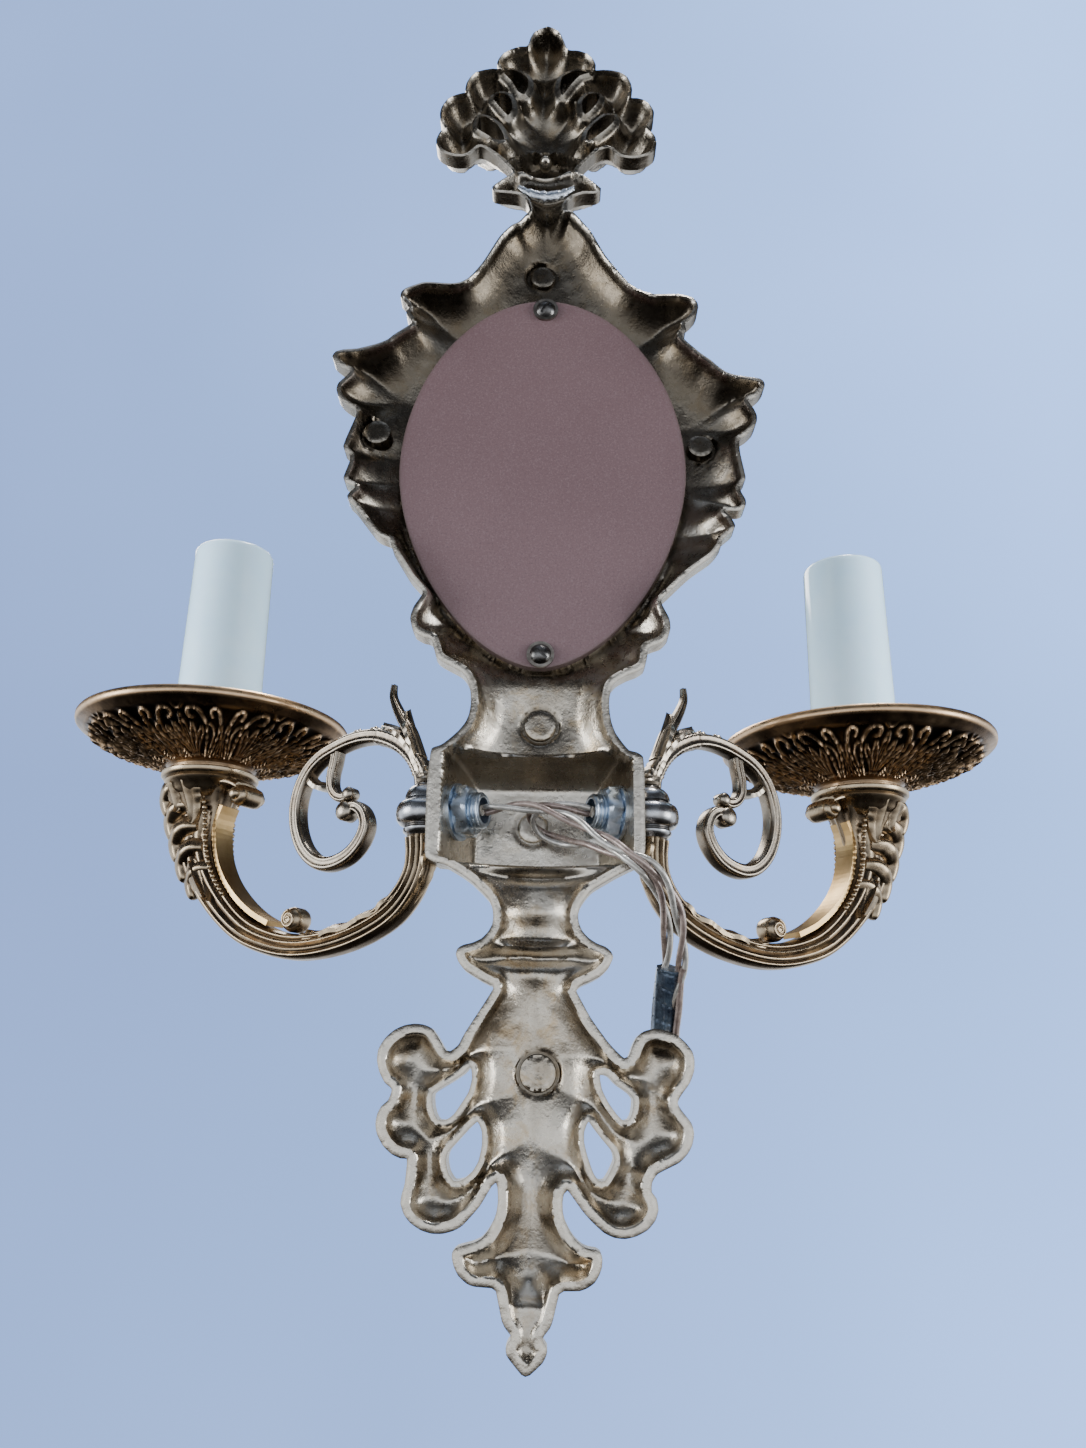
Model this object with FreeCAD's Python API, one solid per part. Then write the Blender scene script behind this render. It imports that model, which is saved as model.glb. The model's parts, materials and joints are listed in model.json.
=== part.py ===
import FreeCAD, Part
import os
import math

os.makedirs("parts", exist_ok=True)
V = FreeCAD.Vector

# ---------------------------------------------------------------------------
# Two-arm oval mirror wall light, cast brass, seen here as an assembly.
# Frame: millimetres, +Z up, X to the right seen from the front, the wall is
# the plane Y = 0 and the mirror faces -Y.  The origin is on the wall plane at
# the centre of the wiring box mouth.  "right" parts are at +X, "left" at -X.
# ---------------------------------------------------------------------------

# ---- driving dimensions (mm) ----
EDGE_Y = 5.4            # depth of the straight outer edge of the casting
RIM_W = 2.2             # width of the flat rim that meets the wall
SKIN = 2.0              # skin left behind the first step of the hollow
STEP1_Y = 3.4           # depth of the first step of the hollow
HOLLOW_Y = 8.5          # depth of the main hollow
FRONT_Y = 11.0          # front of the relief away from the mirror
INSET_FRONT = 3.0       # how far the relief steps in from the edge
INSET_HOLLOW = 4.6      # how far the main hollow steps in from the edge
FRAME_FLOOR_Y = 12.0    # floor of the hollow round the mirror
FRAME_FRONT_Y = 15.0    # front face round the mirror
BEZEL_FRONT_Y = 18.0    # front of the raised oval bezel

OVAL_CX, OVAL_CZ = -0.2, 103.0
BOARD_A, BOARD_B, BOARD_T = 42.5, 62.0, 3.0
BOARD_BACK_Y = 5.0
SEAT_OUT_A, SEAT_OUT_B = 41.5, 61.4
GLASS_A, GLASS_B, GLASS_T = 38.5, 55.0, 3.8
GLASS_GAP = 0.4
OPEN_A, OPEN_B = 36.4, 52.9
SCREW_DZ = 58.0         # board screws above and below the centre of the oval
SCREW_R = 1.5

BOX_HALF = 28.8         # half width of the wiring box at the wall
BOX_TOP_Z, BOX_BOT_Z = 15.5, -14.8
BOX_FRONT_Y = 27.0
BOX_WALL = 3.0
BOX_DRAFT = math.tan(math.radians(20.0))   # side walls lean in towards the front

NIP_Z = 0.7             # height of the side nipples
KNOB_X, KNOB_Y = 30.8, 13.6                # vertical axis of the arm knobs
NIP_R, NIP_BORE_R = 5.0, 3.6               # M10x1 hollow nipple
NUT_AF, NUT_T = 13.0, 5.0

ARM_REACH = 85.84       # knob axis to candle axis along the nominal arm
RIGHT_CUP = (105.0, -57.0, 0.0)            # candle axis x, y and height offset
LEFT_CUP = (-101.3, -55.6, -3.6)           # the other arm is bent 3.6 mm lower
ZC = 23.0               # arm heights below are measured from z = 23

PAN_R, PAN_H = 42.3, 16.0
PAN_FOOT_R = 12.5
PAN_FOOT_Z = -0.2 + ZC  # underside of the pan's foot
RING_R = 15.0
SLEEVE_LEN = 75.4
SLEEVE_R0, SLEEVE_R1, SLEEVE_WALL = 13.6, 12.85, 1.1
HOLDER_R = 11.2
E14_R, E14_LEN = 6.95, 17.0

FLEX_R = 1.7            # twisted pair, measured over both conductors
FLEX_RIGHT = [(14.35, -7.6, 0.7), (10.0, -5.4, 1.1), (4.6, -4.0, 1.1), (-2.1, -2.4, 0.0),
              (-10.0, 0.4, -3.5), (-17.1, 5.0, -9.3), (-23.2, 9.0, -13.6), (-28.2, 9.6, -16.2),
              (-32.3, 7.6, -19.9), (-35.7, 3.4, -25.2), (-37.5, -0.8, -31.6), (-38.1, -5.0, -37.4),
              (-37.7, -8.8, -43.4), (-36.3, -12.5, -50.7)]
FLEX_LEFT = [(-14.35, -7.6, 0.7), (-9.4, -6.5, 1.8), (-4.2, -7.2, 2.4), (0.8, -9.8, 2.0), (2.2, -13.8, -0.6),
             (-1.2, -15.6, -4.0), (-6.8, -13.2, -6.4), (-11.0, -8.9, -7.9), (-14.2, -4.6, -8.3),
             (-19.9, 1.4, -12.1), (-25.5, 5.2, -15.7), (-29.9, 4.2, -19.8), (-33.0, -0.6, -25.6),
             (-34.2, -5.4, -31.1), (-34.5, -9.2, -37.0), (-33.6, -12.2, -43.1), (-32.9, -15.0, -50.6)]
TAPE = [(-35.9, -9.6, -41.2), (-35.3, -11.8, -46.4), (-34.7, -14.0, -51.5), (-34.6, -17.2, -60.5)]
TAPE_RX, TAPE_RY = 4.5, 2.9


# outline of the casting at the wall plane, top point down to bottom tip (x, z)
OUT_RIGHT = [
    (0.6, 274.0), (3.4, 272.7), (5.4, 271.2), (6.5, 268.6), (7.0, 266.3), (7.8, 265.0), (10.1, 264.8), (13.1, 263.6), (15.6, 261.7),
    (16.9, 259.6), (17.5, 257.3), (16.5, 254.9), (18.8, 255.0), (21.5, 254.5), (24.3, 253.5), (26.4, 251.1), (27.5, 248.5), (27.8, 245.7),
    (27.3, 244.6), (28.9, 244.2), (31.7, 243.1), (33.8, 241.3), (35.3, 238.4), (35.8, 235.6), (35.5, 232.8), (34.0, 229.4), (35.4, 227.8),
    (36.4, 225.1), (36.4, 222.3), (35.1, 219.7), (32.9, 218.1), (30.1, 217.2), (27.4, 217.2), (25.3, 218.2), (22.7, 221.0), (21.1, 221.0),
    (16.6, 217.8), (12.2, 212.8), (11.2, 210.8), (15.3, 207.3), (17.6, 204.9), (16.8, 202.9), (12.0, 202.4), (8.8, 201.8), (6.6, 199.8),
    (5.5, 195.8), (6.8, 193.7), (8.7, 191.2), (11.1, 189.7), (14.6, 185.5), (19.2, 176.3), (20.8, 173.6), (22.6, 171.0), (24.5, 168.9),
    (26.8, 167.6), (29.6, 167.2), (35.9, 167.6), (38.7, 167.3), (43.4, 165.2), (44.7, 163.7), (44.8, 161.8), (42.6, 158.9), (42.0, 157.8),
    (42.8, 156.4), (42.4, 155.0), (40.8, 152.5), (41.9, 151.3), (46.2, 147.9), (47.9, 146.2), (50.7, 144.8), (53.9, 143.7), (57.1, 142.8),
    (61.2, 142.4), (63.5, 141.6), (64.4, 139.9), (63.5, 138.0), (61.3, 136.1), (58.6, 134.4), (61.8, 130.5), (62.3, 128.3), (61.7, 126.1),
    (60.2, 124.0), (58.0, 122.2), (56.0, 121.1), (55.8, 119.1), (58.9, 108.6), (56.7, 105.6), (56.7, 103.3), (58.1, 98.1), (57.2, 96.4),
    (54.5, 95.0), (55.6, 93.7), (56.6, 92.1), (55.8, 90.2), (53.8, 88.1), (48.0, 80.4), (45.8, 78.8), (43.3, 77.8), (42.5, 75.4),
    (38.8, 69.2), (36.8, 66.1), (34.6, 63.6), (33.1, 61.6), (35.4, 57.5), (36.2, 54.9), (36.3, 53.7), (35.8, 51.4), (34.7, 49.4),
    (32.5, 48.1), (30.1, 47.3), (28.6, 42.6), (26.9, 40.9), (21.5, 37.9), (19.9, 36.0), (19.0, 33.8), (18.6, 31.2), (18.5, 28.5),
    (18.9, 25.7), (19.7, 23.5), (21.4, 21.1), (23.9, 18.6), (26.1, 16.9), (28.2, 16.1), (28.8, 14.8), (29.4, 5.2), (29.1, -12.3),
    (28.3, -14.0), (26.5, -15.1), (23.7, -15.7), (19.3, -18.2), (16.6, -20.1), (14.0, -22.5), (12.0, -24.6), (11.1, -26.7), (10.8, -28.8),
    (11.0, -30.9), (12.0, -32.8), (13.6, -34.5), (15.9, -35.6), (18.2, -36.2), (19.6, -37.1), (20.0, -38.5), (19.3, -40.4), (17.6, -42.4),
    (13.3, -45.0), (11.2, -46.0), (10.3, -47.0), (17.0, -57.7), (18.5, -60.6), (20.4, -62.1), (21.5, -62.0), (23.6, -58.8), (25.3, -56.7),
    (27.3, -55.9), (29.5, -55.7), (32.0, -56.1), (34.4, -57.2), (36.3, -58.8), (37.5, -60.4), (38.3, -62.2), (38.4, -64.6), (37.7, -67.2),
    (36.2, -69.8), (34.4, -71.3), (35.1, -73.7), (36.7, -75.2), (37.6, -77.0), (37.9, -79.3), (37.4, -81.6), (35.9, -84.1), (33.6, -86.1),
    (31.4, -87.0), (29.9, -87.1), (29.8, -88.0), (30.1, -92.5), (30.7, -94.9), (30.9, -96.9), (30.0, -99.3), (28.3, -101.2), (25.8, -102.7),
    (23.2, -103.4), (20.6, -103.4), (18.0, -102.7), (15.9, -101.5), (12.1, -97.4), (9.3, -92.9), (8.4, -92.1), (8.0, -93.1), (7.8, -96.1),
    (8.1, -98.5), (8.8, -100.5), (10.0, -102.6), (11.5, -104.3), (13.4, -105.2), (17.1, -106.2), (18.2, -107.3), (18.2, -108.7), (17.7, -110.4),
    (16.6, -112.3), (14.6, -113.9), (12.8, -114.5), (8.7, -114.8), (7.8, -115.4), (6.2, -121.7), (5.1, -123.4), (4.2, -124.4), (4.1, -125.2),
    (4.7, -125.9), (5.2, -127.1), (5.0, -128.5), (4.0, -129.8), (1.5, -132.4), (0.6, -132.8)]
OUT_LEFT = [
    (0.6, 274.0), (-1.6, 273.1), (-3.6, 271.3), (-4.9, 267.9), (-5.9, 264.6), (-7.1, 263.4), (-10.1, 263.2), (-12.9, 262.0), (-14.9, 259.6),
    (-15.8, 257.0), (-15.3, 254.7), (-18.0, 254.9), (-21.3, 254.7), (-24.1, 253.9), (-26.3, 252.1), (-27.5, 249.2), (-27.9, 246.3), (-27.4, 243.0),
    (-29.5, 242.8), (-31.7, 242.1), (-33.8, 240.0), (-35.0, 237.2), (-34.8, 234.4), (-33.0, 229.6), (-34.2, 228.4), (-35.3, 226.4), (-35.6, 223.2),
    (-34.9, 220.5), (-33.0, 218.6), (-29.7, 217.3), (-27.0, 217.1), (-24.3, 217.6), (-22.2, 219.1), (-21.1, 220.7), (-19.5, 221.3), (-17.9, 220.8),
    (-15.7, 219.6), (-11.4, 214.4), (-9.6, 211.5), (-12.5, 209.4), (-17.4, 204.7), (-15.7, 202.7), (-12.0, 202.5), (-8.8, 201.3), (-6.5, 198.8),
    (-6.0, 195.9), (-8.1, 195.7), (-12.5, 190.0), (-14.5, 187.0), (-18.8, 178.2), (-23.6, 171.2), (-25.9, 168.1), (-28.3, 166.1), (-31.1, 164.7),
    (-33.9, 163.9), (-40.6, 164.0), (-43.4, 163.6), (-45.8, 162.6), (-47.1, 160.9), (-47.3, 159.0), (-46.5, 156.7), (-45.0, 154.7), (-43.0, 152.7),
    (-43.3, 151.0), (-41.9, 149.1), (-43.0, 147.1), (-47.5, 142.5), (-50.2, 140.3), (-52.9, 137.6), (-55.1, 135.8), (-58.3, 134.7), (-65.2, 133.6),
    (-66.4, 132.1), (-66.4, 130.8), (-65.2, 128.8), (-63.4, 127.0), (-61.2, 125.8), (-62.8, 123.0), (-63.6, 120.7), (-63.5, 118.7), (-62.5, 116.4),
    (-60.4, 114.1), (-58.1, 112.4), (-58.0, 109.8), (-58.2, 107.1), (-59.2, 101.0), (-59.3, 99.1), (-57.5, 96.0), (-59.0, 92.5), (-59.1, 90.9),
    (-58.4, 89.3), (-56.9, 88.7), (-52.8, 88.7), (-54.0, 87.3), (-55.1, 85.5), (-55.7, 83.9), (-55.0, 82.3), (-51.8, 79.3), (-51.5, 77.7),
    (-50.2, 75.6), (-48.3, 73.5), (-42.5, 69.0), (-36.3, 62.7), (-33.9, 59.9), (-36.1, 54.7), (-36.4, 51.8), (-35.7, 49.2), (-33.8, 47.1),
    (-31.4, 46.2), (-30.1, 45.4), (-29.7, 42.5), (-28.9, 40.0), (-26.8, 38.5), (-24.1, 37.4), (-21.3, 35.7), (-19.9, 34.0), (-19.4, 31.7),
    (-19.2, 29.0), (-19.4, 26.2), (-19.9, 23.5), (-20.9, 20.8), (-22.7, 18.1), (-24.5, 16.0), (-26.5, 15.5), (-28.2, 14.2), (-28.5, 9.9),
    (-28.5, -1.7), (-28.5, -8.4), (-28.3, -11.7), (-27.2, -14.1), (-24.4, -16.2), (-20.8, -18.1), (-15.0, -21.6), (-13.1, -23.6), (-11.6, -25.9),
    (-11.0, -28.1), (-11.2, -30.2), (-12.1, -32.3), (-13.8, -34.1), (-15.9, -35.4), (-18.0, -36.2), (-19.4, -37.4), (-19.9, -38.8), (-18.8, -41.3),
    (-16.7, -43.4), (-14.2, -44.8), (-11.7, -45.9), (-10.6, -47.1), (-11.5, -48.9), (-14.3, -53.8), (-18.4, -59.3), (-20.9, -61.9), (-22.5, -63.2),
    (-23.6, -62.7), (-24.5, -60.3), (-25.6, -58.2), (-27.3, -56.8), (-30.0, -56.1), (-32.8, -56.5), (-35.5, -57.5), (-37.7, -59.3), (-39.3, -61.4),
    (-39.8, -63.5), (-39.6, -66.1), (-38.5, -68.8), (-35.4, -73.5), (-38.6, -78.0), (-39.2, -80.5), (-38.7, -83.0), (-37.5, -85.1), (-35.4, -87.1),
    (-30.3, -89.6), (-28.9, -91.6), (-28.8, -93.6), (-29.9, -95.0), (-30.3, -97.5), (-29.5, -99.9), (-27.7, -101.9), (-25.0, -103.3), (-22.4, -103.9),
    (-19.8, -103.7), (-17.4, -102.7), (-14.8, -100.6), (-12.4, -98.2), (-8.7, -93.6), (-7.9, -94.4), (-7.6, -96.2), (-7.7, -98.3), (-8.2, -100.3),
    (-9.5, -102.7), (-10.8, -104.3), (-12.3, -105.5), (-13.9, -106.1), (-15.6, -106.3), (-16.6, -106.9), (-17.0, -108.2), (-16.9, -109.9), (-16.3, -111.6),
    (-15.2, -113.3), (-13.6, -114.4), (-11.7, -115.1), (-8.0, -115.2), (-7.0, -115.8), (-5.6, -121.2), (-4.9, -122.9), (-3.2, -125.1), (-4.3, -127.0),
    (-4.2, -128.3), (-3.3, -130.0), (-0.4, -132.5), (0.6, -132.8)]

# pierced openings between the lobes (x, z)
PIERCED = [
    [(15.4, 254.9), (12.4, 255.4), (9.0, 253.7), (6.9, 251.1), (6.9, 247.6), (8.1, 244.6), (10.2, 245.8), (12.3, 250.1), (14.7, 253.2)],
    [(-13.8, 254.4), (-10.5, 253.0), (-7.8, 249.5), (-5.8, 246.0), (-4.5, 244.3), (-3.8, 247.7), (-4.4, 251.7), (-6.4, 253.9), (-9.8, 255.2)],
    [(18.4, 242.7), (16.8, 244.9), (14.5, 244.9), (12.4, 242.4), (12.0, 238.1), (13.3, 235.5), (16.0, 238.9)],
    [(-11.5, 237.5), (-11.2, 241.8), (-13.1, 244.8), (-15.8, 245.3), (-17.1, 244.0), (-16.1, 241.0), (-13.8, 237.6), (-12.2, 236.3)],
    [(23.4, 231.2), (22.5, 235.0), (20.2, 234.6), (16.8, 231.7), (14.7, 227.5), (14.3, 224.6), (15.9, 223.7), (19.6, 227.0), (23.0, 229.5)],
    [(-12.5, 225.3), (-13.2, 229.1), (-15.8, 232.9), (-19.1, 235.9), (-21.7, 236.0), (-21.7, 233.4), (-19.1, 230.0), (-15.1, 226.2), (-13.2, 224.5)],
    [(15.3, -65.8), (14.9, -68.5), (15.6, -71.6), (17.2, -74.2), (19.0, -76.8), (20.8, -78.1), (22.7, -78.1), (23.6, -76.8), (24.2, -74.8), (24.3, -72.2), (22.5, -70.9), (19.3, -69.0), (16.9, -67.4)],
    [(-16.5, -67.3), (-18.4, -67.5), (-20.5, -69.5), (-23.3, -71.3), (-24.6, -72.8), (-24.3, -75.7), (-23.5, -77.4), (-22.1, -77.7), (-20.5, -76.2), (-18.6, -73.7), (-17.0, -70.6)],
    [(13.2, -78.5), (12.1, -80.7), (12.0, -83.8), (12.7, -87.3), (14.2, -89.8), (16.3, -91.5), (18.4, -91.8), (19.8, -89.9), (20.4, -87.4), (20.0, -85.4), (17.7, -82.8), (15.1, -80.0)],
    [(-13.7, -78.1), (-15.1, -79.8), (-17.2, -82.3), (-19.4, -84.8), (-19.9, -86.8), (-18.8, -89.3), (-17.5, -91.3), (-16.1, -91.3), (-14.8, -89.4), (-13.5, -85.9), (-12.7, -82.9), (-12.7, -80.4)],
]
RING_W = 1.5            # flat rim round each pierced opening

# round cast pads on the hollow's floor: x, z, radius, floor depth
PADS = [(0.9, 178.0, 4.3, HOLLOW_Y), (50.0, 116.6, 4.3, HOLLOW_Y), (-47.6, 114.8, 4.1, HOLLOW_Y),
        (-0.4, 25.6, 4.0, HOLLOW_Y), (1.3, -0.9, 4.2, BOX_FRONT_Y - BOX_WALL), (-1.2, -67.0, 4.8, HOLLOW_Y)]

# arm branch: distance out from the knob, height from z = 23, width in the
# plane of the arm, thickness across it
ARM = [(1.4, -28.6, 7.6, 6.4), (1.1, -33.0, 7.2, 6.2), (1.7, -38.0, 7.0, 6.2), (4.5, -43.5, 7.2, 6.2),
       (9.5, -48.5, 7.4, 6.4), (17.0, -52.3, 7.4, 6.8), (26.0, -55.0, 7.3, 7.2), (36.0, -56.4, 7.2, 7.6),
       (45.0, -56.1, 7.4, 8.0), (54.0, -54.0, 7.8, 8.4), (62.3, -50.5, 8.6, 8.8), (70.0, -45.0, 9.6, 9.0),
       (77.0, -38.0, 10.8, 9.4), (82.0, -31.0, 12.4, 9.8), (85.0, -24.5, 14.4, 10.0), (86.2, -17.5, 17.0, 10.6),
       (86.2, -10.5, 21.0, 13.0), (85.84, -4.6, 25.0, 19.0), (85.84, -2.4, 26.0, 24.0)]
# wire passage through the branch
PASSAGE = [(0.0, -22.3), (1.0, -27.5), (1.2, -33.0), (1.9, -38.0), (5.0, -43.3), (10.0, -47.9), (17.3, -51.6),
           (26.2, -54.1), (36.0, -55.4), (45.0, -54.9), (53.6, -52.4), (61.4, -49.0), (68.4, -43.4), (74.4, -36.4),
           (78.4, -29.6), (80.2, -23.0), (80.8, -16.5), (82.4, -10.5), (85.84, -5.0), (85.84, 4.6)]
PASSAGE_R, ARM_WIRE_R = 2.1, 1.5
# cover strip on the plain inner side of the branch
STRIP = [(75.9, -11.6), (77.9, -17.0), (77.3, -23.2), (75.3, -29.4), (71.5, -35.5), (65.7, -41.3), (59.1, -46.0), (52.3, -49.3)]

SCROLL = [(0.6, -13.6), (1.2, -11.0), (3.4, -6.9), (7.0, -2.9), (11.1, 0.0), (16.8, 2.4), (22.4, 3.2), (28.0, 2.8), (33.6, 1.4),
          (39.2, -0.9), (43.5, -4.7), (46.1, -9.9), (47.0, -15.9), (45.9, -22.1), (43.0, -27.8), (38.7, -31.7),
          (34.0, -33.3), (29.2, -32.8), (25.0, -30.9), (21.7, -27.5), (20.2, -23.3), (21.6, -19.4), (24.4, -17.4), (27.0, -17.6)]
SCROLL_CURL = [(33.0, 1.0), (33.5, -2.9), (34.3, -6.8), (34.0, -10.5), (32.2, -13.1), (29.6, -14.2), (27.8, -13.7)]
SCROLL_LEAF = [(3.4, -6.0), (6.7, 2.4), (9.8, 7.1), (12.3, 11.4), (13.6, 14.7), (13.5, 18.1)]
SCROLL_W, SCROLL_T = 3.2, 5.0


# ---------------------------------------------------------------------------
# helpers
# ---------------------------------------------------------------------------
def face_xz(pts, y):
    vs = [V(x, y, z) for x, z in pts]
    return Part.Face(Part.makePolygon(vs + [vs[0]]))


def prism(loops, y0, y1):
    """Straight-sided solid from one loop, or from a list of separate loops."""
    if not isinstance(loops[0], list):
        loops = [loops]
    solids = [face_xz(p, y0).extrude(V(0, y1 - y0, 0)) for p in loops]
    return solids[0] if len(solids) == 1 else Part.makeCompound(solids)


def ellipse_prism(cx, cz, a, b, y0, y1):
    pa, pb = V(cx + a, y0, cz), V(cx, y0, cz + b)
    e = Part.Ellipse(pb, pa, V(cx, y0, cz)) if b > a else Part.Ellipse(pa, pb, V(cx, y0, cz))
    return Part.Face(Part.Wire([e.toShape()])).extrude(V(0, y1 - y0, 0))


def cyl_y(x, z, r, y0, y1):
    return Part.makeCylinder(r, abs(y1 - y0), V(x, max(y0, y1), z), V(0, -1, 0))


def seg_dist(px, pz, a, b):
    dx, dz = b[0] - a[0], b[1] - a[1]
    t = ((px - a[0]) * dx + (pz - a[1]) * dz) / (dx * dx + dz * dz)
    t = max(0.0, min(1.0, t))
    return math.hypot(px - a[0] - t * dx, pz - a[1] - t * dz)


def simplify(p, eps):
    if len(p) < 3:
        return p
    a, b = p[0], p[-1]
    best, k = -1.0, 0
    for i in range(1, len(p) - 1):
        d = seg_dist(p[i][0], p[i][1], a, b) if a != b else math.hypot(p[i][0] - a[0], p[i][1] - a[1])
        if d > best:
            best, k = d, i
    if best <= eps:
        return [a, b]
    return simplify(p[:k + 1], eps)[:-1] + simplify(p[k:], eps)


def loop_area(p):
    return 0.5 * sum(p[i][0] * p[(i + 1) % len(p)][1] - p[(i + 1) % len(p)][0] * p[i][1] for i in range(len(p)))


def close_loop(p, eps):
    h = len(p) // 2
    return simplify(p[:h + 1], eps)[:-1] + simplify(p[h:] + [p[0]], eps)[:-1]


def inset(loop, d, sign=1.0, step=0.5, eps=0.5):
    """Loops of points moved d towards the inside of a loop (sign=-1: outside)."""
    n = len(loop)
    s = sign * (1.0 if loop_area(loop) > 0 else -1.0)
    segs = [(loop[i], loop[(i + 1) % n]) for i in range(n)]
    cand = []
    for i in range(n):
        a, b = segs[i]
        L = math.hypot(b[0] - a[0], b[1] - a[1])
        nx, nz = -(b[1] - a[1]) / L * s, (b[0] - a[0]) / L * s
        c = segs[(i + 1) % n][1]
        m = max(1, int(L / step))
        for k in range(m + 1):
            t = k / m
            cand.append((a[0] + (b[0] - a[0]) * t + nx * d, a[1] + (b[1] - a[1]) * t + nz * d))
        L2 = math.hypot(c[0] - b[0], c[1] - b[1])
        mx, mz = -(c[1] - b[1]) / L2 * s, (c[0] - b[0]) / L2 * s
        a0 = math.atan2(nz, nx)
        da = (math.atan2(mz, mx) - a0 + math.pi) % (2 * math.pi) - math.pi
        if da * s < 0:
            k = max(1, int(abs(da) * d / step) + 1)
            for j in range(1, k):
                w = a0 + da * j / k
                cand.append((b[0] + math.cos(w) * d, b[1] + math.sin(w) * d))
    good = []
    for p in cand:
        ok = True
        for a, b in segs:
            if min(a[0], b[0]) - d > p[0] or max(a[0], b[0]) + d < p[0]:
                continue
            if min(a[1], b[1]) - d > p[1] or max(a[1], b[1]) + d < p[1]:
                continue
            if seg_dist(p[0], p[1], a, b) < d - 0.02:
                ok = False
                break
        good.append(ok)
    if all(good):
        return [close_loop(cand, eps)]
    # runs of valid points, each joined to the run that starts nearest its end
    k0 = good.index(False)
    runs, run = [], []
    for j in range(len(cand)):
        q = (k0 + j) % len(cand)
        if good[q]:
            run.append(cand[q])
        elif run:
            runs.append(run)
            run = []
    if run:
        runs.append(run)
    runs = [r for r in runs if len(r) > 2]
    left, loops = list(range(len(runs))), []
    while left:
        first = cur = left.pop(0)
        pts = list(runs[cur])
        while True:
            e = runs[cur][-1]
            best = min(left + [first], key=lambda q: math.hypot(runs[q][0][0] - e[0], runs[q][0][1] - e[1]))
            if best == first:
                break
            left.remove(best)
            pts += runs[best]
            cur = best
        if len(pts) > 8 and abs(loop_area(pts)) > 6.0:
            loops.append(close_loop(pts, eps))
    return loops


def unit(v):
    return V(v).normalize()


def tube(points, r, name="", quiet=False):
    """Round cord along straight runs joined by tangent arcs."""
    P = [V(*p) for p in points]
    edges, last, length, radii = [], P[0], 0.0, []
    for i in range(1, len(P) - 1):
        u, w = unit(P[i] - P[i - 1]), unit(P[i + 1] - P[i])
        phi = math.acos(max(-1.0, min(1.0, u.dot(w))))
        T = 0.45 * min(P[i].distanceToPoint(P[i - 1]), P[i].distanceToPoint(P[i + 1]))
        R = T / math.tan(phi / 2)
        a, b = P[i] - u * T, P[i] + w * T
        m = P[i] + unit(w - u) * (R / math.cos(phi / 2) - R)
        edges.append(Part.LineSegment(last, a).toShape())
        edges.append(Part.Arc(a, m, b).toShape())
        length += last.distanceToPoint(a) + R * phi
        radii.append(R)
        last = b
    edges.append(Part.LineSegment(last, P[-1]).toShape())
    length += last.distanceToPoint(P[-1])
    path = Part.Wire(edges)
    d0 = unit(P[1] - P[0])
    prof = Part.Wire([Part.makeCircle(r, P[0], d0)])
    s = path.makePipeShell([prof], True, False)
    s = Part.Solid(s) if s.ShapeType != "Solid" else s
    if s.Volume < 0:
        s.reverse()
    if not quiet:
        print(name, "length %.1f" % length, "radii", [round(x, 1) for x in radii],
              "volume %.1f of %.1f" % (s.Volume, math.pi * r * r * length), "valid", s.isValid())
    return s


def revolve_z(profile, cx, cy):
    """profile: closed (radius, z) points, turned about a vertical axis."""
    vs = [V(cx + r, cy, z) for r, z in profile]
    f = Part.Face(Part.makePolygon(vs + [vs[0]]))
    return f.revolve(V(cx, cy, 0), V(0, 0, 1), 360)


def hex_prism(centre, axis, af, length):
    R = af / math.sqrt(3.0)
    a = unit(axis)
    u = unit(V(0, 0, 1) - a * a.z) if abs(a.z) < 0.9 else V(1, 0, 0)
    w = a.cross(u)
    ps = [centre + u * (R * math.cos(k * math.pi / 3)) + w * (R * math.sin(k * math.pi / 3)) for k in range(6)]
    return Part.Face(Part.makePolygon(ps + [ps[0]])).extrude(a * length)


def band(points, widths):
    """Outline of a strip of the given widths along a planar line (s, z)."""
    L, R = [], []
    n = len(points)
    for i, (s, z) in enumerate(points):
        a, b = points[max(0, i - 1)], points[min(n - 1, i + 1)]
        dx, dz = b[0] - a[0], b[1] - a[1]
        m = math.hypot(dx, dz)
        nx, nz = -dz / m, dx / m
        L.append((s + nx * widths[i] / 2, z + nz * widths[i] / 2))
        R.append((s - nx * widths[i] / 2, z - nz * widths[i] / 2))
    return L + R[::-1]


def smooth(points, k=3):
    """Catmull-Rom points through the given ones."""
    out = []
    n = len(points)
    for i in range(n - 1):
        p0, p1, p2, p3 = points[max(0, i - 1)], points[i], points[i + 1], points[min(n - 1, i + 2)]
        for j in range(k):
            t = j / k
            out.append(tuple(0.5 * (2 * b + (c - a) * t + (2 * a - 5 * b + 4 * c - d) * t * t + (3 * b - a - 3 * c + d) * t ** 3)
                             for a, b, c, d in zip(p0, p1, p2, p3)))
    out.append(tuple(points[-1]))
    return out


def clean(shape):
    if shape.ShapeType == "Compound" and len(shape.Solids) == 1:
        shape = shape.Solids[0]
    return shape


NAMES = []


def save(name, shape):
    shape = clean(shape)
    ok = shape.isValid()
    NAMES.append(name)
    print("%-26s solids %d valid %s volume %.1f mm3" % (name, len(shape.Solids), ok, shape.Volume))
    shape.exportStep("parts/%s.step" % name)


# ---------------------------------------------------------------------------
# back plate: one hollow casting, crown, mirror frame, wiring box and pendant
# ---------------------------------------------------------------------------
outline = close_loop(OUT_RIGHT + OUT_LEFT[-2:0:-1], 0.5)
front_line = inset(outline, INSET_FRONT)[0]
rim_line = inset(outline, RIM_W)[0]
hollow_line = inset(outline, INSET_HOLLOW)[0]
dome_line = inset(outline, INSET_FRONT + 1.0)[0]
deep_line = inset(outline, INSET_HOLLOW + 0.8)[0]


def ring_layer(outer, inner, y0, y1):
    return face_xz(outer, y0).cut(face_xz(inner, y0)).extrude(V(0, y1 - y0, 0))


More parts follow.
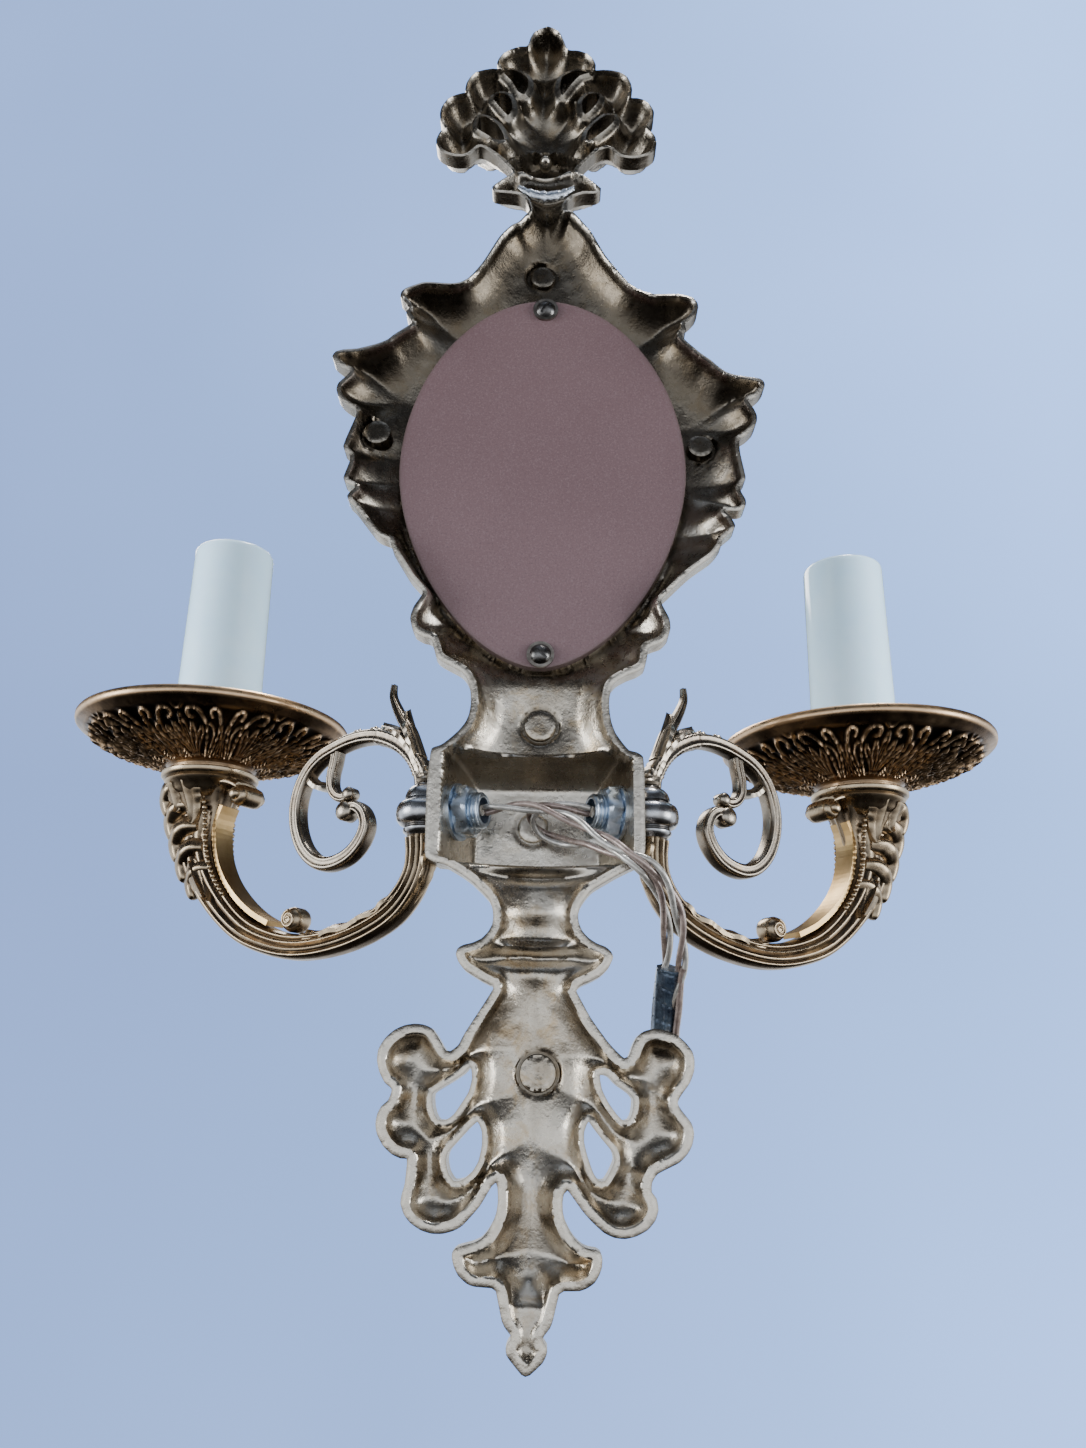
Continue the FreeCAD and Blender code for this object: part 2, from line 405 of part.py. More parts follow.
# stepped shell: rim at the wall, straight edge, relief and frame front
body = ring_layer(outline, rim_line, 0, -STEP1_Y)
body = body.fuse(ring_layer(outline, hollow_line, -STEP1_Y, -EDGE_Y))
body = body.fuse(ring_layer(front_line, hollow_line, -EDGE_Y, -HOLLOW_Y))
body = body.fuse(prism(front_line, -HOLLOW_Y, -FRONT_Y))
body = body.fuse(prism(dome_line, -FRONT_Y, -FRAME_FRONT_Y).common(ellipse_prism(OVAL_CX, OVAL_CZ, 54.0, 74.0, 0, -30)))
deep = prism(deep_line, -HOLLOW_Y, -FRAME_FLOOR_Y).common(ellipse_prism(OVAL_CX, OVAL_CZ, 51.0, 71.0, 0, -30))
deep = deep.cut(ellipse_prism(OVAL_CX, OVAL_CZ, SEAT_OUT_A, SEAT_OUT_B, -BOARD_BACK_Y - BOARD_T, -30))
body = body.cut(deep)
body = body.fuse(ellipse_prism(OVAL_CX, OVAL_CZ, SEAT_OUT_A, SEAT_OUT_B, -BOARD_BACK_Y - BOARD_T, -FRAME_FLOOR_Y - 0.5))
body = body.fuse(ellipse_prism(OVAL_CX, OVAL_CZ, 42.5, 59.5, -FRAME_FLOOR_Y - 0.5, -BEZEL_FRONT_Y))


def check_body(tag):
    print("   casting:", tag, body.isValid(), round(body.Volume), len(body.Faces), len(body.Solids))


check_body("shell")


def box_solid(w, top, bot, y0, y1):
    """Wiring box: the walls lean in towards the front."""
    def wire(y):
        x = w + y * BOX_DRAFT
        kz = -y * 0.10
        return Part.makePolygon([V(-x, y, bot + kz), V(x, y, bot + kz), V(x, y, top - kz), V(-x, y, top - kz), V(-x, y, bot + kz)])
    return Part.makeLoft([wire(y0), wire(y1)], True, True)


outer_box = box_solid(BOX_HALF, BOX_TOP_Z + 2.6, BOX_BOT_Z - 2.6, 0.0, -BOX_FRONT_Y)
outer_box = outer_box.common(Part.makeBox(120, BOX_FRONT_Y - 0.3, 120, V(-60, -BOX_FRONT_Y, -60)))
body = body.fuse(outer_box)
check_body("box")
# the arms' knobs bear on the slanted side walls, so nothing stands out past them there
for sx in (1, -1):
    y0, y1 = -EDGE_Y - 0.02, -BOX_FRONT_Y - 1
    trim = Part.Face(Part.makePolygon([V(sx * (BOX_HALF + BOX_DRAFT * y0), y0, -12), V(sx * 48, y0, -12), V(sx * 48, y1, -12),
                                       V(sx * (BOX_HALF + BOX_DRAFT * y1), y1, -12), V(sx * (BOX_HALF + BOX_DRAFT * y0), y0, -12)])).extrude(V(0, 0, 25))
    body = body.cut(trim)
cavity = box_solid(BOX_HALF - BOX_WALL * 1.064, BOX_TOP_Z, BOX_BOT_Z, 1.0, -(BOX_FRONT_Y - BOX_WALL))
body = body.cut(cavity)
check_body("cavity")
# flat rims round the pierced openings, and the hanging eye in the crown
for hole in PIERCED:
    for eps in (0.12, 0.2, 0.3, 0.4):
        p = prism(inset(hole, RING_W, -1.0, 0.4, eps)[0], -0.3, -HOLLOW_Y - 1.0)
        if p.isValid():
            break
    body = body.fuse(p)
eye = ellipse_prism(0.9, 217.3, 12.0, 6.6, -0.6, -HOLLOW_Y - 1.0).cut(ellipse_prism(0.9, 217.3, 9.6, 4.4, 1.0, -HOLLOW_Y))
eye = eye.fuse(cyl_y(0.6, 217.3, 1.7, -1.5, -HOLLOW_Y - 1.0))
body = body.fuse(eye)
check_body("rims and eye")
# room for the board inside the frame's rim
body = body.cut(ellipse_prism(OVAL_CX, OVAL_CZ, BOARD_A + 0.4, BOARD_B + 0.4, 0.5, -BOARD_BACK_Y - BOARD_T))
for x, z, r, fl in PADS:
    if fl == HOLLOW_Y:
        fl = FRAME_FLOOR_Y if abs(z - OVAL_CZ) < 40 else HOLLOW_Y
    body = body.fuse(cyl_y(x, z, r, -fl + 1.0, -fl - 1.0))
for hole in PIERCED:
    body = body.cut(prism(hole, 1.0, -30))
check_body("pads and openings")
# glass recess, front opening and the tapped holes for the board screws
body = body.cut(ellipse_prism(OVAL_CX, OVAL_CZ, GLASS_A + GLASS_GAP, GLASS_B + GLASS_GAP, -BOARD_BACK_Y - BOARD_T + 1, -FRAME_FLOOR_Y))
body = body.cut(ellipse_prism(OVAL_CX, OVAL_CZ, OPEN_A, OPEN_B, -5, -40))
for s in (1, -1):
    body = body.cut(cyl_y(OVAL_CX, OVAL_CZ + s * SCREW_DZ, SCREW_R, -5, -13.5))
# holes for the two side nipples
AX = V(0.9396926, -0.3420201, 0)


def side_axis(sx):
    return V(sx * AX.x, AX.y, 0)


def on_side(sx, t, z=NIP_Z):
    """Point on the nipple's axis, t mm in from the knob's vertical axis."""
    k = V(sx * KNOB_X, -KNOB_Y, z)
    return k - side_axis(sx) * t


T_OUT = (KNOB_X - BOX_HALF + BOX_DRAFT * KNOB_Y) / (AX.x - BOX_DRAFT * AX.y)
T_IN = T_OUT + BOX_WALL
for sx in (1, -1):
    body = body.cut(Part.makeCylinder(NIP_R + 0.15, 12, on_side(sx, T_OUT - 3), side_axis(sx) * -1))
body = clean(body)
save("back_plate", body)

# ---------------------------------------------------------------------------
# mirror, board and its fixings
# ---------------------------------------------------------------------------
save("mirror_glass", ellipse_prism(OVAL_CX, OVAL_CZ, GLASS_A, GLASS_B, -FRAME_FLOOR_Y, -FRAME_FLOOR_Y + GLASS_T))
board = ellipse_prism(OVAL_CX, OVAL_CZ, BOARD_A, BOARD_B, -BOARD_BACK_Y - BOARD_T, -BOARD_BACK_Y)
for s in (1, -1):
    board = board.cut(cyl_y(OVAL_CX, OVAL_CZ + s * SCREW_DZ, 1.8, 0, -10))
save("mirror_backing_board", board)
washers, screws = [], []
for s in (1, -1):
    x, z = OVAL_CX, OVAL_CZ + s * SCREW_DZ
    y = -BOARD_BACK_Y
    w = cyl_y(x, z, 3.9, y + 0.8, y).cut(cyl_y(x, z, 1.8, y + 2, y - 1))
    washers.append(w)
    head = Part.makeSphere(3.6, V(x, y + 0.8 - 1.98, z)).common(cyl_y(x, z, 3.0, y + 4, y + 0.8))
    sc = head.fuse(cyl_y(x, z, SCREW_R, y + 1.0, -13.3))
    slot = Part.makeBox(8, 1.2, 0.8, V(x - 4, y + 1.6, z - 0.4))
    slot.rotate(V(x, y, z), V(0, 1, 0), 52 if s > 0 else -38)
    screws.append(clean(sc.cut(slot)))
save("board_screw_washers", Part.makeCompound(washers))
save("board_screws", Part.makeCompound(screws))


# ---------------------------------------------------------------------------
# the two arms
# ---------------------------------------------------------------------------
def arm_frame(side):
    sx = 1 if side == "right" else -1
    cup = RIGHT_CUP if side == "right" else LEFT_CUP
    k = V(sx * KNOB_X, -KNOB_Y, 0)
    e = V(cup[0], cup[1], 0)
    d = unit(e - k)
    n = V(-d.y, d.x, 0) if sx > 0 else V(d.y, -d.x, 0)
    f = (e - k).Length / ARM_REACH

    def at(s, z, t=0.0):
        return k + d * (s * f) + n * t + V(0, 0, z + ZC + cup[2] * max(0.0, min(1.0, s / ARM_REACH)) ** 2)
    return sx, cup, k, e, d, n, at


def section(c, u, n, w, t, r):
    """Rounded rectangle, w along u and t along n."""
    r = min(r, 0.45 * min(w, t))
    a, b = w / 2, t / 2
    es = []
    q = r * (1 - math.sqrt(0.5))

    def p(x, y):
        return c + u * x + n * y
    es.append(Part.LineSegment(p(-a + r, -b), p(a - r, -b)).toShape())
    es.append(Part.Arc(p(a - r, -b), p(a - q, -b + q), p(a, -b + r)).toShape())
    es.append(Part.LineSegment(p(a, -b + r), p(a, b - r)).toShape())
    es.append(Part.Arc(p(a, b - r), p(a - q, b - q), p(a - r, b)).toShape())
    es.append(Part.LineSegment(p(a - r, b), p(-a + r, b)).toShape())
    es.append(Part.Arc(p(-a + r, b), p(-a + q, b - q), p(-a, b - r)).toShape())
    es.append(Part.LineSegment(p(-a, b - r), p(-a, -b + r)).toShape())
    es.append(Part.Arc(p(-a, -b + r), p(-a + q, -b + q), p(-a + r, -b)).toShape())
    return Part.Wire(es)


for side in ("right", "left"):
    sx, cup, K, E, d, n, at = arm_frame(side)
    dz = cup[2]
    # --- branch ---
    secs = []
    for i, (s, z, w, t) in enumerate(ARM):
        a, b = ARM[max(0, i - 1)], ARM[min(len(ARM) - 1, i + 1)]
        tan = unit(at(b[0], b[1]) - at(a[0], a[1]))
        if i >= len(ARM) - 3 or i == 0:
            tan = V(0, 0, 1) if i else V(0, 0, -1)
        u = unit(tan.cross(n))
        if i == 0:
            u = unit(V(0, 0, -1).cross(n))
        secs.append(section(at(s, z), u, n, w, t, 2.2 if i < len(ARM) - 2 else 9.0))
    arm = Part.makeLoft(secs, True, False)
    if arm.Volume < 0:
        arm.reverse()
    top = PAN_FOOT_Z + dz
    ring = Part.makeCylinder(RING_R, 2.2, V(E.x, E.y, top - 2.2))
    arm = arm.fuse(ring)
    curl = Part.makeCylinder(2.9, 8.0, at(68.8, -9.1, -4.0), n)
    neck = Part.makeCylinder(2.0, 7.0, at(68.8, -9.1, -3.5) , n)
    link = Part.Face(Part.makePolygon([at(68.2, -6.4, -3.2), at(79.0, -3.0, -3.2), at(80.0, -12.0, -3.2), at(70.5, -11.0, -3.2), at(68.2, -6.4, -3.2)])).extrude(n * 6.4)
    arm = arm.fuse(curl).fuse(link)
    knobcurl = Part.makeCylinder(3.3, 6.6, at(44.4, -48.6, -3.3), n)
    kl = Part.Face(Part.makePolygon([at(41.0, -54.5, -2.6), at(47.6, -54.0, -2.6), at(47.4, -49.0, -2.6), at(42.0, -49.5, -2.6), at(41.0, -54.5, -2.6)])).extrude(n * 5.2)
    arm = arm.fuse(knobcurl).fuse(kl)
    # tapped hole for the candle nipple, wire passage, recess for the cover strip
    arm = arm.cut(Part.makeCylinder(NIP_R, 9.0, V(E.x, E.y, top - 8.0)))
    pts = [at(s, z) for s, z in PASSAGE[1:]]
    arm = arm.cut(tube([tuple(p) for p in pts], PASSAGE_R, quiet=True))
    outer = band(smooth(STRIP, 4), [1.5] * (4 * (len(STRIP) - 1) + 1))
    strip_pts = [at(s, z, -3.6) for s, z in outer]
    strip = Part.Face(Part.makePolygon(strip_pts + [strip_pts[0]])).extrude(n * 7.2)
    arm = arm.cut(strip)
    arm = clean(arm)
    if len(arm.Solids) > 1:
        arm = sorted(arm.Solids, key=lambda q: -q.Volume)[0]
    pin_c = at(78.0, -14.2, 0)
    save(side + "_arm", arm)
    save(side + "_wire_cover_strip", strip)
    # --- knob between the box wall and the branch, flat where it meets the wall ---
    kz = ZC
    prof = [(0, kz - 13.4), (2.6, kz - 13.4), (3.2, kz - 14.2), (4.6, kz - 15.0), (5.8, kz - 17.4), (5.8, kz - 18.4), (6.6, kz - 18.8),
            (7.8, kz - 20.0), (8.2, kz - 22.0), (7.8, kz - 24.2), (6.6, kz - 25.6), (6.0, kz - 26.0), (5.6, kz - 27.4), (5.2, kz - 28.6), (0, kz - 28.6)]
    knob = revolve_z(prof, K.x, K.y)
    wall_pt = on_side(sx, T_OUT, 0)
    nrm = V(sx * math.cos(math.atan(BOX_DRAFT)), -math.sin(math.atan(BOX_DRAFT)), 0)
    tv = V(-nrm.y, nrm.x, 0)
    blk = Part.Face(Part.makePolygon([wall_pt + tv * 30 + V(0, 0, -20), wall_pt - tv * 30 + V(0, 0, -20), wall_pt - tv * 30 + V(0, 0, 30),
                                      wall_pt + tv * 30 + V(0, 0, 30), wall_pt + tv * 30 + V(0, 0, -20)])).extrude(nrm * -20)
    knob = knob.cut(blk)
    knob = knob.cut(Part.makeCylinder(NIP_R, 20, on_side(sx, -1.0), side_axis(sx) * -1))
    knob = knob.cut(Part.makeCylinder(PASSAGE_R, 14, V(K.x + sx * 0.6, K.y, NIP_Z - 14)))
    knob = knob.cut(Part.makeCylinder(1.6, 4, V(K.x, K.y, kz - 16.6)))
    save(side + "_arm_knob", knob)
    # --- scroll ---
    pts = smooth(SCROLL, 3)
    m = len(pts)
    ws = [SCROLL_W * (1.0 if i < m * 0.8 else 1.0 - 0.35 * (i - m * 0.8) / (m * 0.2)) for i in range(m)]
    ws[0], ws[1] = 4.4, 4.2

    def slab(pl, t):
        q = [at(a, b, -t / 2) for a, b in pl]
        return Part.Face(Part.makePolygon(q + [q[0]])).extrude(n * t)
    scroll = slab(band(pts, ws), SCROLL_T)
    c2 = smooth(SCROLL_CURL, 3)
    scroll = scroll.fuse(slab(band(c2, [2.6] * len(c2)), SCROLL_T - 1.0))
    lf = smooth(SCROLL_LEAF, 3)
    scroll = scroll.fuse(slab(band(lf, [4.4 - 2.9 * (i / (len(lf) - 1)) ** 0.8 for i in range(len(lf))]), SCROLL_T - 0.6))
    scroll = scroll.fuse(Part.makeCylinder(2.6, 5.6, at(28.0, -18.4, -2.8), n))
    scroll = scroll.fuse(Part.makeCylinder(1.9, 4.8, at(27.4, -13.4, -2.4), n))
    scroll = scroll.fuse(Part.makeCylinder(2.5, 1.6, V(K.x, K.y, kz - 13.4)))
    scroll = scroll.fuse(Part.makeCylinder(1.6, 4.0, V(K.x, K.y, kz - 16.4)))
    below = Part.makeCylinder(12, 6.0, V(K.x, K.y, kz - 19.4)).cut(Part.makeCylinder(1.6, 7.0, V(K.x, K.y, kz - 20)))
    scroll = scroll.cut(below)
    save(side + "_scroll", scroll)
    # --- hollow nipple and hex nut through the box wall ---
    t_end = 17.5
    nip = Part.makeCylinder(NIP_R, t_end - (-1.0), on_side(sx, t_end), side_axis(sx))
    nip = nip.cut(Part.makeCylinder(NIP_BORE_R, 30, on_side(sx, t_end + 1), side_axis(sx)))
    # the wire turns down out of the nipple's end through a side hole
    nip = nip.cut(Part.makeCylinder(PASSAGE_R, 20, V(K.x + sx * 0.6, K.y, NIP_Z - 20)))
    save(side + "_side_nipple", nip)
    nut = hex_prism(on_side(sx, T_IN), side_axis(sx) * -1, NUT_AF, NUT_T)
    nut = nut.cut(Part.makeCylinder(NIP_R, 20, on_side(sx, T_IN - 5), side_axis(sx) * -1))
    save(side + "_hex_nut", nut)
    # --- drip pan ---
    z0 = top
    out = [(PAN_FOOT_R, 0.0), (PAN_FOOT_R, 1.6), (15.5, 3.0), (20.0, 4.4), (26.0, 6.0), (32.0, 7.8), (37.0, 9.8), (40.6, 12.0), (PAN_R, 13.4), (PAN_R, PAN_H)]
    inn = [(PAN_R - 1.6, PAN_H), (PAN_R - 1.8, 14.0), (39.4, 12.9), (36.2, 11.4), (31.4, 9.5), (25.6, 7.7), (19.6, 6.1), (16.0, 4.6), (15.0, 2.6), (NIP_R, 2.6)]
    prof = [(r, z0 + q) for r, q in out + inn + [(NIP_R, 0.0)]]
    save(side + "_drip_pan", revolve_z(prof, E.x, E.y))
    # --- candle nipple, its nut, lampholder and sleeve ---
    cn0, cn1 = top - 8.0, top + 12.0
    cn = Part.makeCylinder(NIP_R, cn1 - cn0, V(E.x, E.y, cn0)).cut(Part.makeCylinder(NIP_BORE_R, 40, V(E.x, E.y, cn0 - 5)))
    save(side + "_candle_nipple", cn)
    ln = hex_prism(V(E.x, E.y, top + 2.6), V(0, 0, 1), 14.0, 3.0).cut(Part.makeCylinder(NIP_R, 10, V(E.x, E.y, top)))
    save(side + "_candle_nipple_nut", ln)
    hz0 = top + 5.6
    hz1 = top + 74.0
    body_p = [(NIP_R, hz0), (9.4, hz0), (9.4, hz0 + 26), (HOLDER_R, hz0 + 30), (HOLDER_R, hz1), (E14_R + 0.35, hz1), (E14_R + 0.35, hz1 - 24.0),
              (3.0, hz1 - 24.0), (3.0, top + 12.0), (NIP_R, top + 12.0)]
    save(side + "_lampholder_body", revolve_z(body_p, E.x, E.y))
    shell = Part.makeCylinder(E14_R + 0.35, E14_LEN, V(E.x, E.y, hz1 - 0.8 - E14_LEN)).cut(Part.makeCylinder(E14_R, 40, V(E.x, E.y, hz1 - 30)))
    save(side + "_lampholder_thread_shell", shell)
    con = Part.makeCylinder(3.6, 0.6, V(E.x, E.y, hz1 - 24.0)).fuse(Part.makeCylinder(2.0, 3.6, V(E.x, E.y, hz1 - 23.4)))
    save(side + "_lampholder_contact", con)
    sz0 = top + 2.6
    sp = [(SLEEVE_R0 - SLEEVE_WALL, sz0), (SLEEVE_R0, sz0), (SLEEVE_R1 + 0.02, sz0 + SLEEVE_LEN - 1.4), (SLEEVE_R1 - 0.3, sz0 + SLEEVE_LEN - 0.4),
          (SLEEVE_R1 - 0.8, sz0 + SLEEVE_LEN), (SLEEVE_R1 - SLEEVE_WALL, sz0 + SLEEVE_LEN)]
    save(side + "_candle_sleeve", revolve_z(sp, E.x, E.y))
    # --- wire through nipple, knob, branch and cup to the lampholder ---
    wp = [tuple(on_side(sx, t_end - 0.6)), tuple(on_side(sx, 6.2) + V(0, 0, -0.4))]
    wp += [(K.x + sx * 0.5, K.y - 0.1, NIP_Z - 2.2)]
    wp += [tuple(at(s, z)) for s, z in PASSAGE[1:]]
    wp[-1] = (E.x, E.y, top + 12.0)
    wp[-2] = (E.x, E.y, top - 4.6)
    save(side + "_arm_wire", tube(wp, ARM_WIRE_R, side + "_arm_wire"))

# ---------------------------------------------------------------------------
# loose flexes and their taped joint
# ---------------------------------------------------------------------------
fr = tube(FLEX_RIGHT, FLEX_R, "right_flex")
fl = tube(FLEX_LEFT, FLEX_R, "left_flex")
save("right_flex", fr)
save("left_flex", fl)


def oval_wire(c, tan, rx, ry):
    tt = unit(tan)
    u = V(0.81, -0.59, 0)
    u = unit(u - tt * tt.dot(u))
    w = tt.cross(u)
    e = Part.Ellipse(c + u * rx, c + w * ry, c)
    return Part.Wire([e.toShape()])


tp = [V(*p) for p in TAPE]
tw = []
for i, p in enumerate(tp):
    tan = tp[min(i + 1, len(tp) - 1)] - tp[max(0, i - 1)]
    tw.append(oval_wire(p, tan, TAPE_RX, TAPE_RY))
tape = Part.makeLoft(tw, True, False)
if tape.Volume < 0:
    tape.reverse()
tape = tape.cut(fr).cut(fl)
if len(tape.Solids) > 1:
    tape = sorted(tape.Solids, key=lambda q: -q.Volume)[0]
save("tape_splice", tape)
print(len(NAMES), "nodes")
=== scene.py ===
import bpy
import bmesh
import json
import math
import numpy as np
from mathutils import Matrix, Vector
from mathutils.geometry import delaunay_2d_cdt

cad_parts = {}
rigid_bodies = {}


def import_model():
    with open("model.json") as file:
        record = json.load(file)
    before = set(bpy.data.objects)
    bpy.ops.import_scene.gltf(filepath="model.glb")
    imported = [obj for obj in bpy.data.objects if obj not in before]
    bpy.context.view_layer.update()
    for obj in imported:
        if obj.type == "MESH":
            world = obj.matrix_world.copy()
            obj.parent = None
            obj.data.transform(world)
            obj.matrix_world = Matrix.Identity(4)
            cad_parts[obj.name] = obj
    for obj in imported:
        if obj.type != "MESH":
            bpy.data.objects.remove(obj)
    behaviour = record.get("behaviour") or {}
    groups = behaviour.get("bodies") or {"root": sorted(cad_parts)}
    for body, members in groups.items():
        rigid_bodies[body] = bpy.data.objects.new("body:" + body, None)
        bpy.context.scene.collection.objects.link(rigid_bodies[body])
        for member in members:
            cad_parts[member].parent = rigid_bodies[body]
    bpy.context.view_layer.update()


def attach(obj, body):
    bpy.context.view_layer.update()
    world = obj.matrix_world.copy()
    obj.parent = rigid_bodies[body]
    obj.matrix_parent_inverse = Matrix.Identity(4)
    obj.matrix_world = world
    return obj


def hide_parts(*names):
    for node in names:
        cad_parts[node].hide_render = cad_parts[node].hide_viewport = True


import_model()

RNG = np.random.RandomState(7)
MM = 0.001

# ---------------------------------------------------------------------------
# dimensions and traced lines of the object (mm)
# ---------------------------------------------------------------------------
OUT_RIGHT = [
    (0.6, 274.0), (3.4, 272.7), (5.4, 271.2), (6.5, 268.6), (7.0, 266.3), (7.8, 265.0), (10.1, 264.8), (13.1, 263.6), (15.6, 261.7),
    (16.9, 259.6), (17.5, 257.3), (16.5, 254.9), (18.8, 255.0), (21.5, 254.5), (24.3, 253.5), (26.4, 251.1), (27.5, 248.5), (27.8, 245.7),
    (27.3, 244.6), (28.9, 244.2), (31.7, 243.1), (33.8, 241.3), (35.3, 238.4), (35.8, 235.6), (35.5, 232.8), (34.0, 229.4), (35.4, 227.8),
    (36.4, 225.1), (36.4, 222.3), (35.1, 219.7), (32.9, 218.1), (30.1, 217.2), (27.4, 217.2), (25.3, 218.2), (22.7, 221.0), (21.1, 221.0),
    (16.6, 217.8), (12.2, 212.8), (11.2, 210.8), (15.3, 207.3), (17.6, 204.9), (16.8, 202.9), (12.0, 202.4), (8.8, 201.8), (6.6, 199.8),
    (5.5, 195.8), (6.8, 193.7), (8.7, 191.2), (11.1, 189.7), (14.6, 185.5), (19.2, 176.3), (20.8, 173.6), (22.6, 171.0), (24.5, 168.9),
    (26.8, 167.6), (29.6, 167.2), (35.9, 167.6), (38.7, 167.3), (43.4, 165.2), (44.7, 163.7), (44.8, 161.8), (42.6, 158.9), (42.0, 157.8),
    (42.8, 156.4), (42.4, 155.0), (40.8, 152.5), (41.9, 151.3), (46.2, 147.9), (47.9, 146.2), (50.7, 144.8), (53.9, 143.7), (57.1, 142.8),
    (61.2, 142.4), (63.5, 141.6), (64.4, 139.9), (63.5, 138.0), (61.3, 136.1), (58.6, 134.4), (61.8, 130.5), (62.3, 128.3), (61.7, 126.1),
    (60.2, 124.0), (58.0, 122.2), (56.0, 121.1), (55.8, 119.1), (58.9, 108.6), (56.7, 105.6), (56.7, 103.3), (58.1, 98.1), (57.2, 96.4),
    (54.5, 95.0), (55.6, 93.7), (56.6, 92.1), (55.8, 90.2), (53.8, 88.1), (48.0, 80.4), (45.8, 78.8), (43.3, 77.8), (42.5, 75.4),
    (38.8, 69.2), (36.8, 66.1), (34.6, 63.6), (33.1, 61.6), (35.4, 57.5), (36.2, 54.9), (36.3, 53.7), (35.8, 51.4), (34.7, 49.4),
    (32.5, 48.1), (30.1, 47.3), (28.6, 42.6), (26.9, 40.9), (21.5, 37.9), (19.9, 36.0), (19.0, 33.8), (18.6, 31.2), (18.5, 28.5),
    (18.9, 25.7), (19.7, 23.5), (21.4, 21.1), (23.9, 18.6), (26.1, 16.9), (28.2, 16.1), (28.8, 14.8), (29.4, 5.2), (29.1, -12.3),
    (28.3, -14.0), (26.5, -15.1), (23.7, -15.7), (19.3, -18.2), (16.6, -20.1), (14.0, -22.5), (12.0, -24.6), (11.1, -26.7), (10.8, -28.8),
    (11.0, -30.9), (12.0, -32.8), (13.6, -34.5), (15.9, -35.6), (18.2, -36.2), (19.6, -37.1), (20.0, -38.5), (19.3, -40.4), (17.6, -42.4),
    (13.3, -45.0), (11.2, -46.0), (10.3, -47.0), (17.0, -57.7), (18.5, -60.6), (20.4, -62.1), (21.5, -62.0), (23.6, -58.8), (25.3, -56.7),
    (27.3, -55.9), (29.5, -55.7), (32.0, -56.1), (34.4, -57.2), (36.3, -58.8), (37.5, -60.4), (38.3, -62.2), (38.4, -64.6), (37.7, -67.2),
    (36.2, -69.8), (34.4, -71.3), (35.1, -73.7), (36.7, -75.2), (37.6, -77.0), (37.9, -79.3), (37.4, -81.6), (35.9, -84.1), (33.6, -86.1),
    (31.4, -87.0), (29.9, -87.1), (29.8, -88.0), (30.1, -92.5), (30.7, -94.9), (30.9, -96.9), (30.0, -99.3), (28.3, -101.2), (25.8, -102.7),
    (23.2, -103.4), (20.6, -103.4), (18.0, -102.7), (15.9, -101.5), (12.1, -97.4), (9.3, -92.9), (8.4, -92.1), (8.0, -93.1), (7.8, -96.1),
    (8.1, -98.5), (8.8, -100.5), (10.0, -102.6), (11.5, -104.3), (13.4, -105.2), (17.1, -106.2), (18.2, -107.3), (18.2, -108.7), (17.7, -110.4),
    (16.6, -112.3), (14.6, -113.9), (12.8, -114.5), (8.7, -114.8), (7.8, -115.4), (6.2, -121.7), (5.1, -123.4), (4.2, -124.4), (4.1, -125.2),
    (4.7, -125.9), (5.2, -127.1), (5.0, -128.5), (4.0, -129.8), (1.5, -132.4), (0.6, -132.8)]
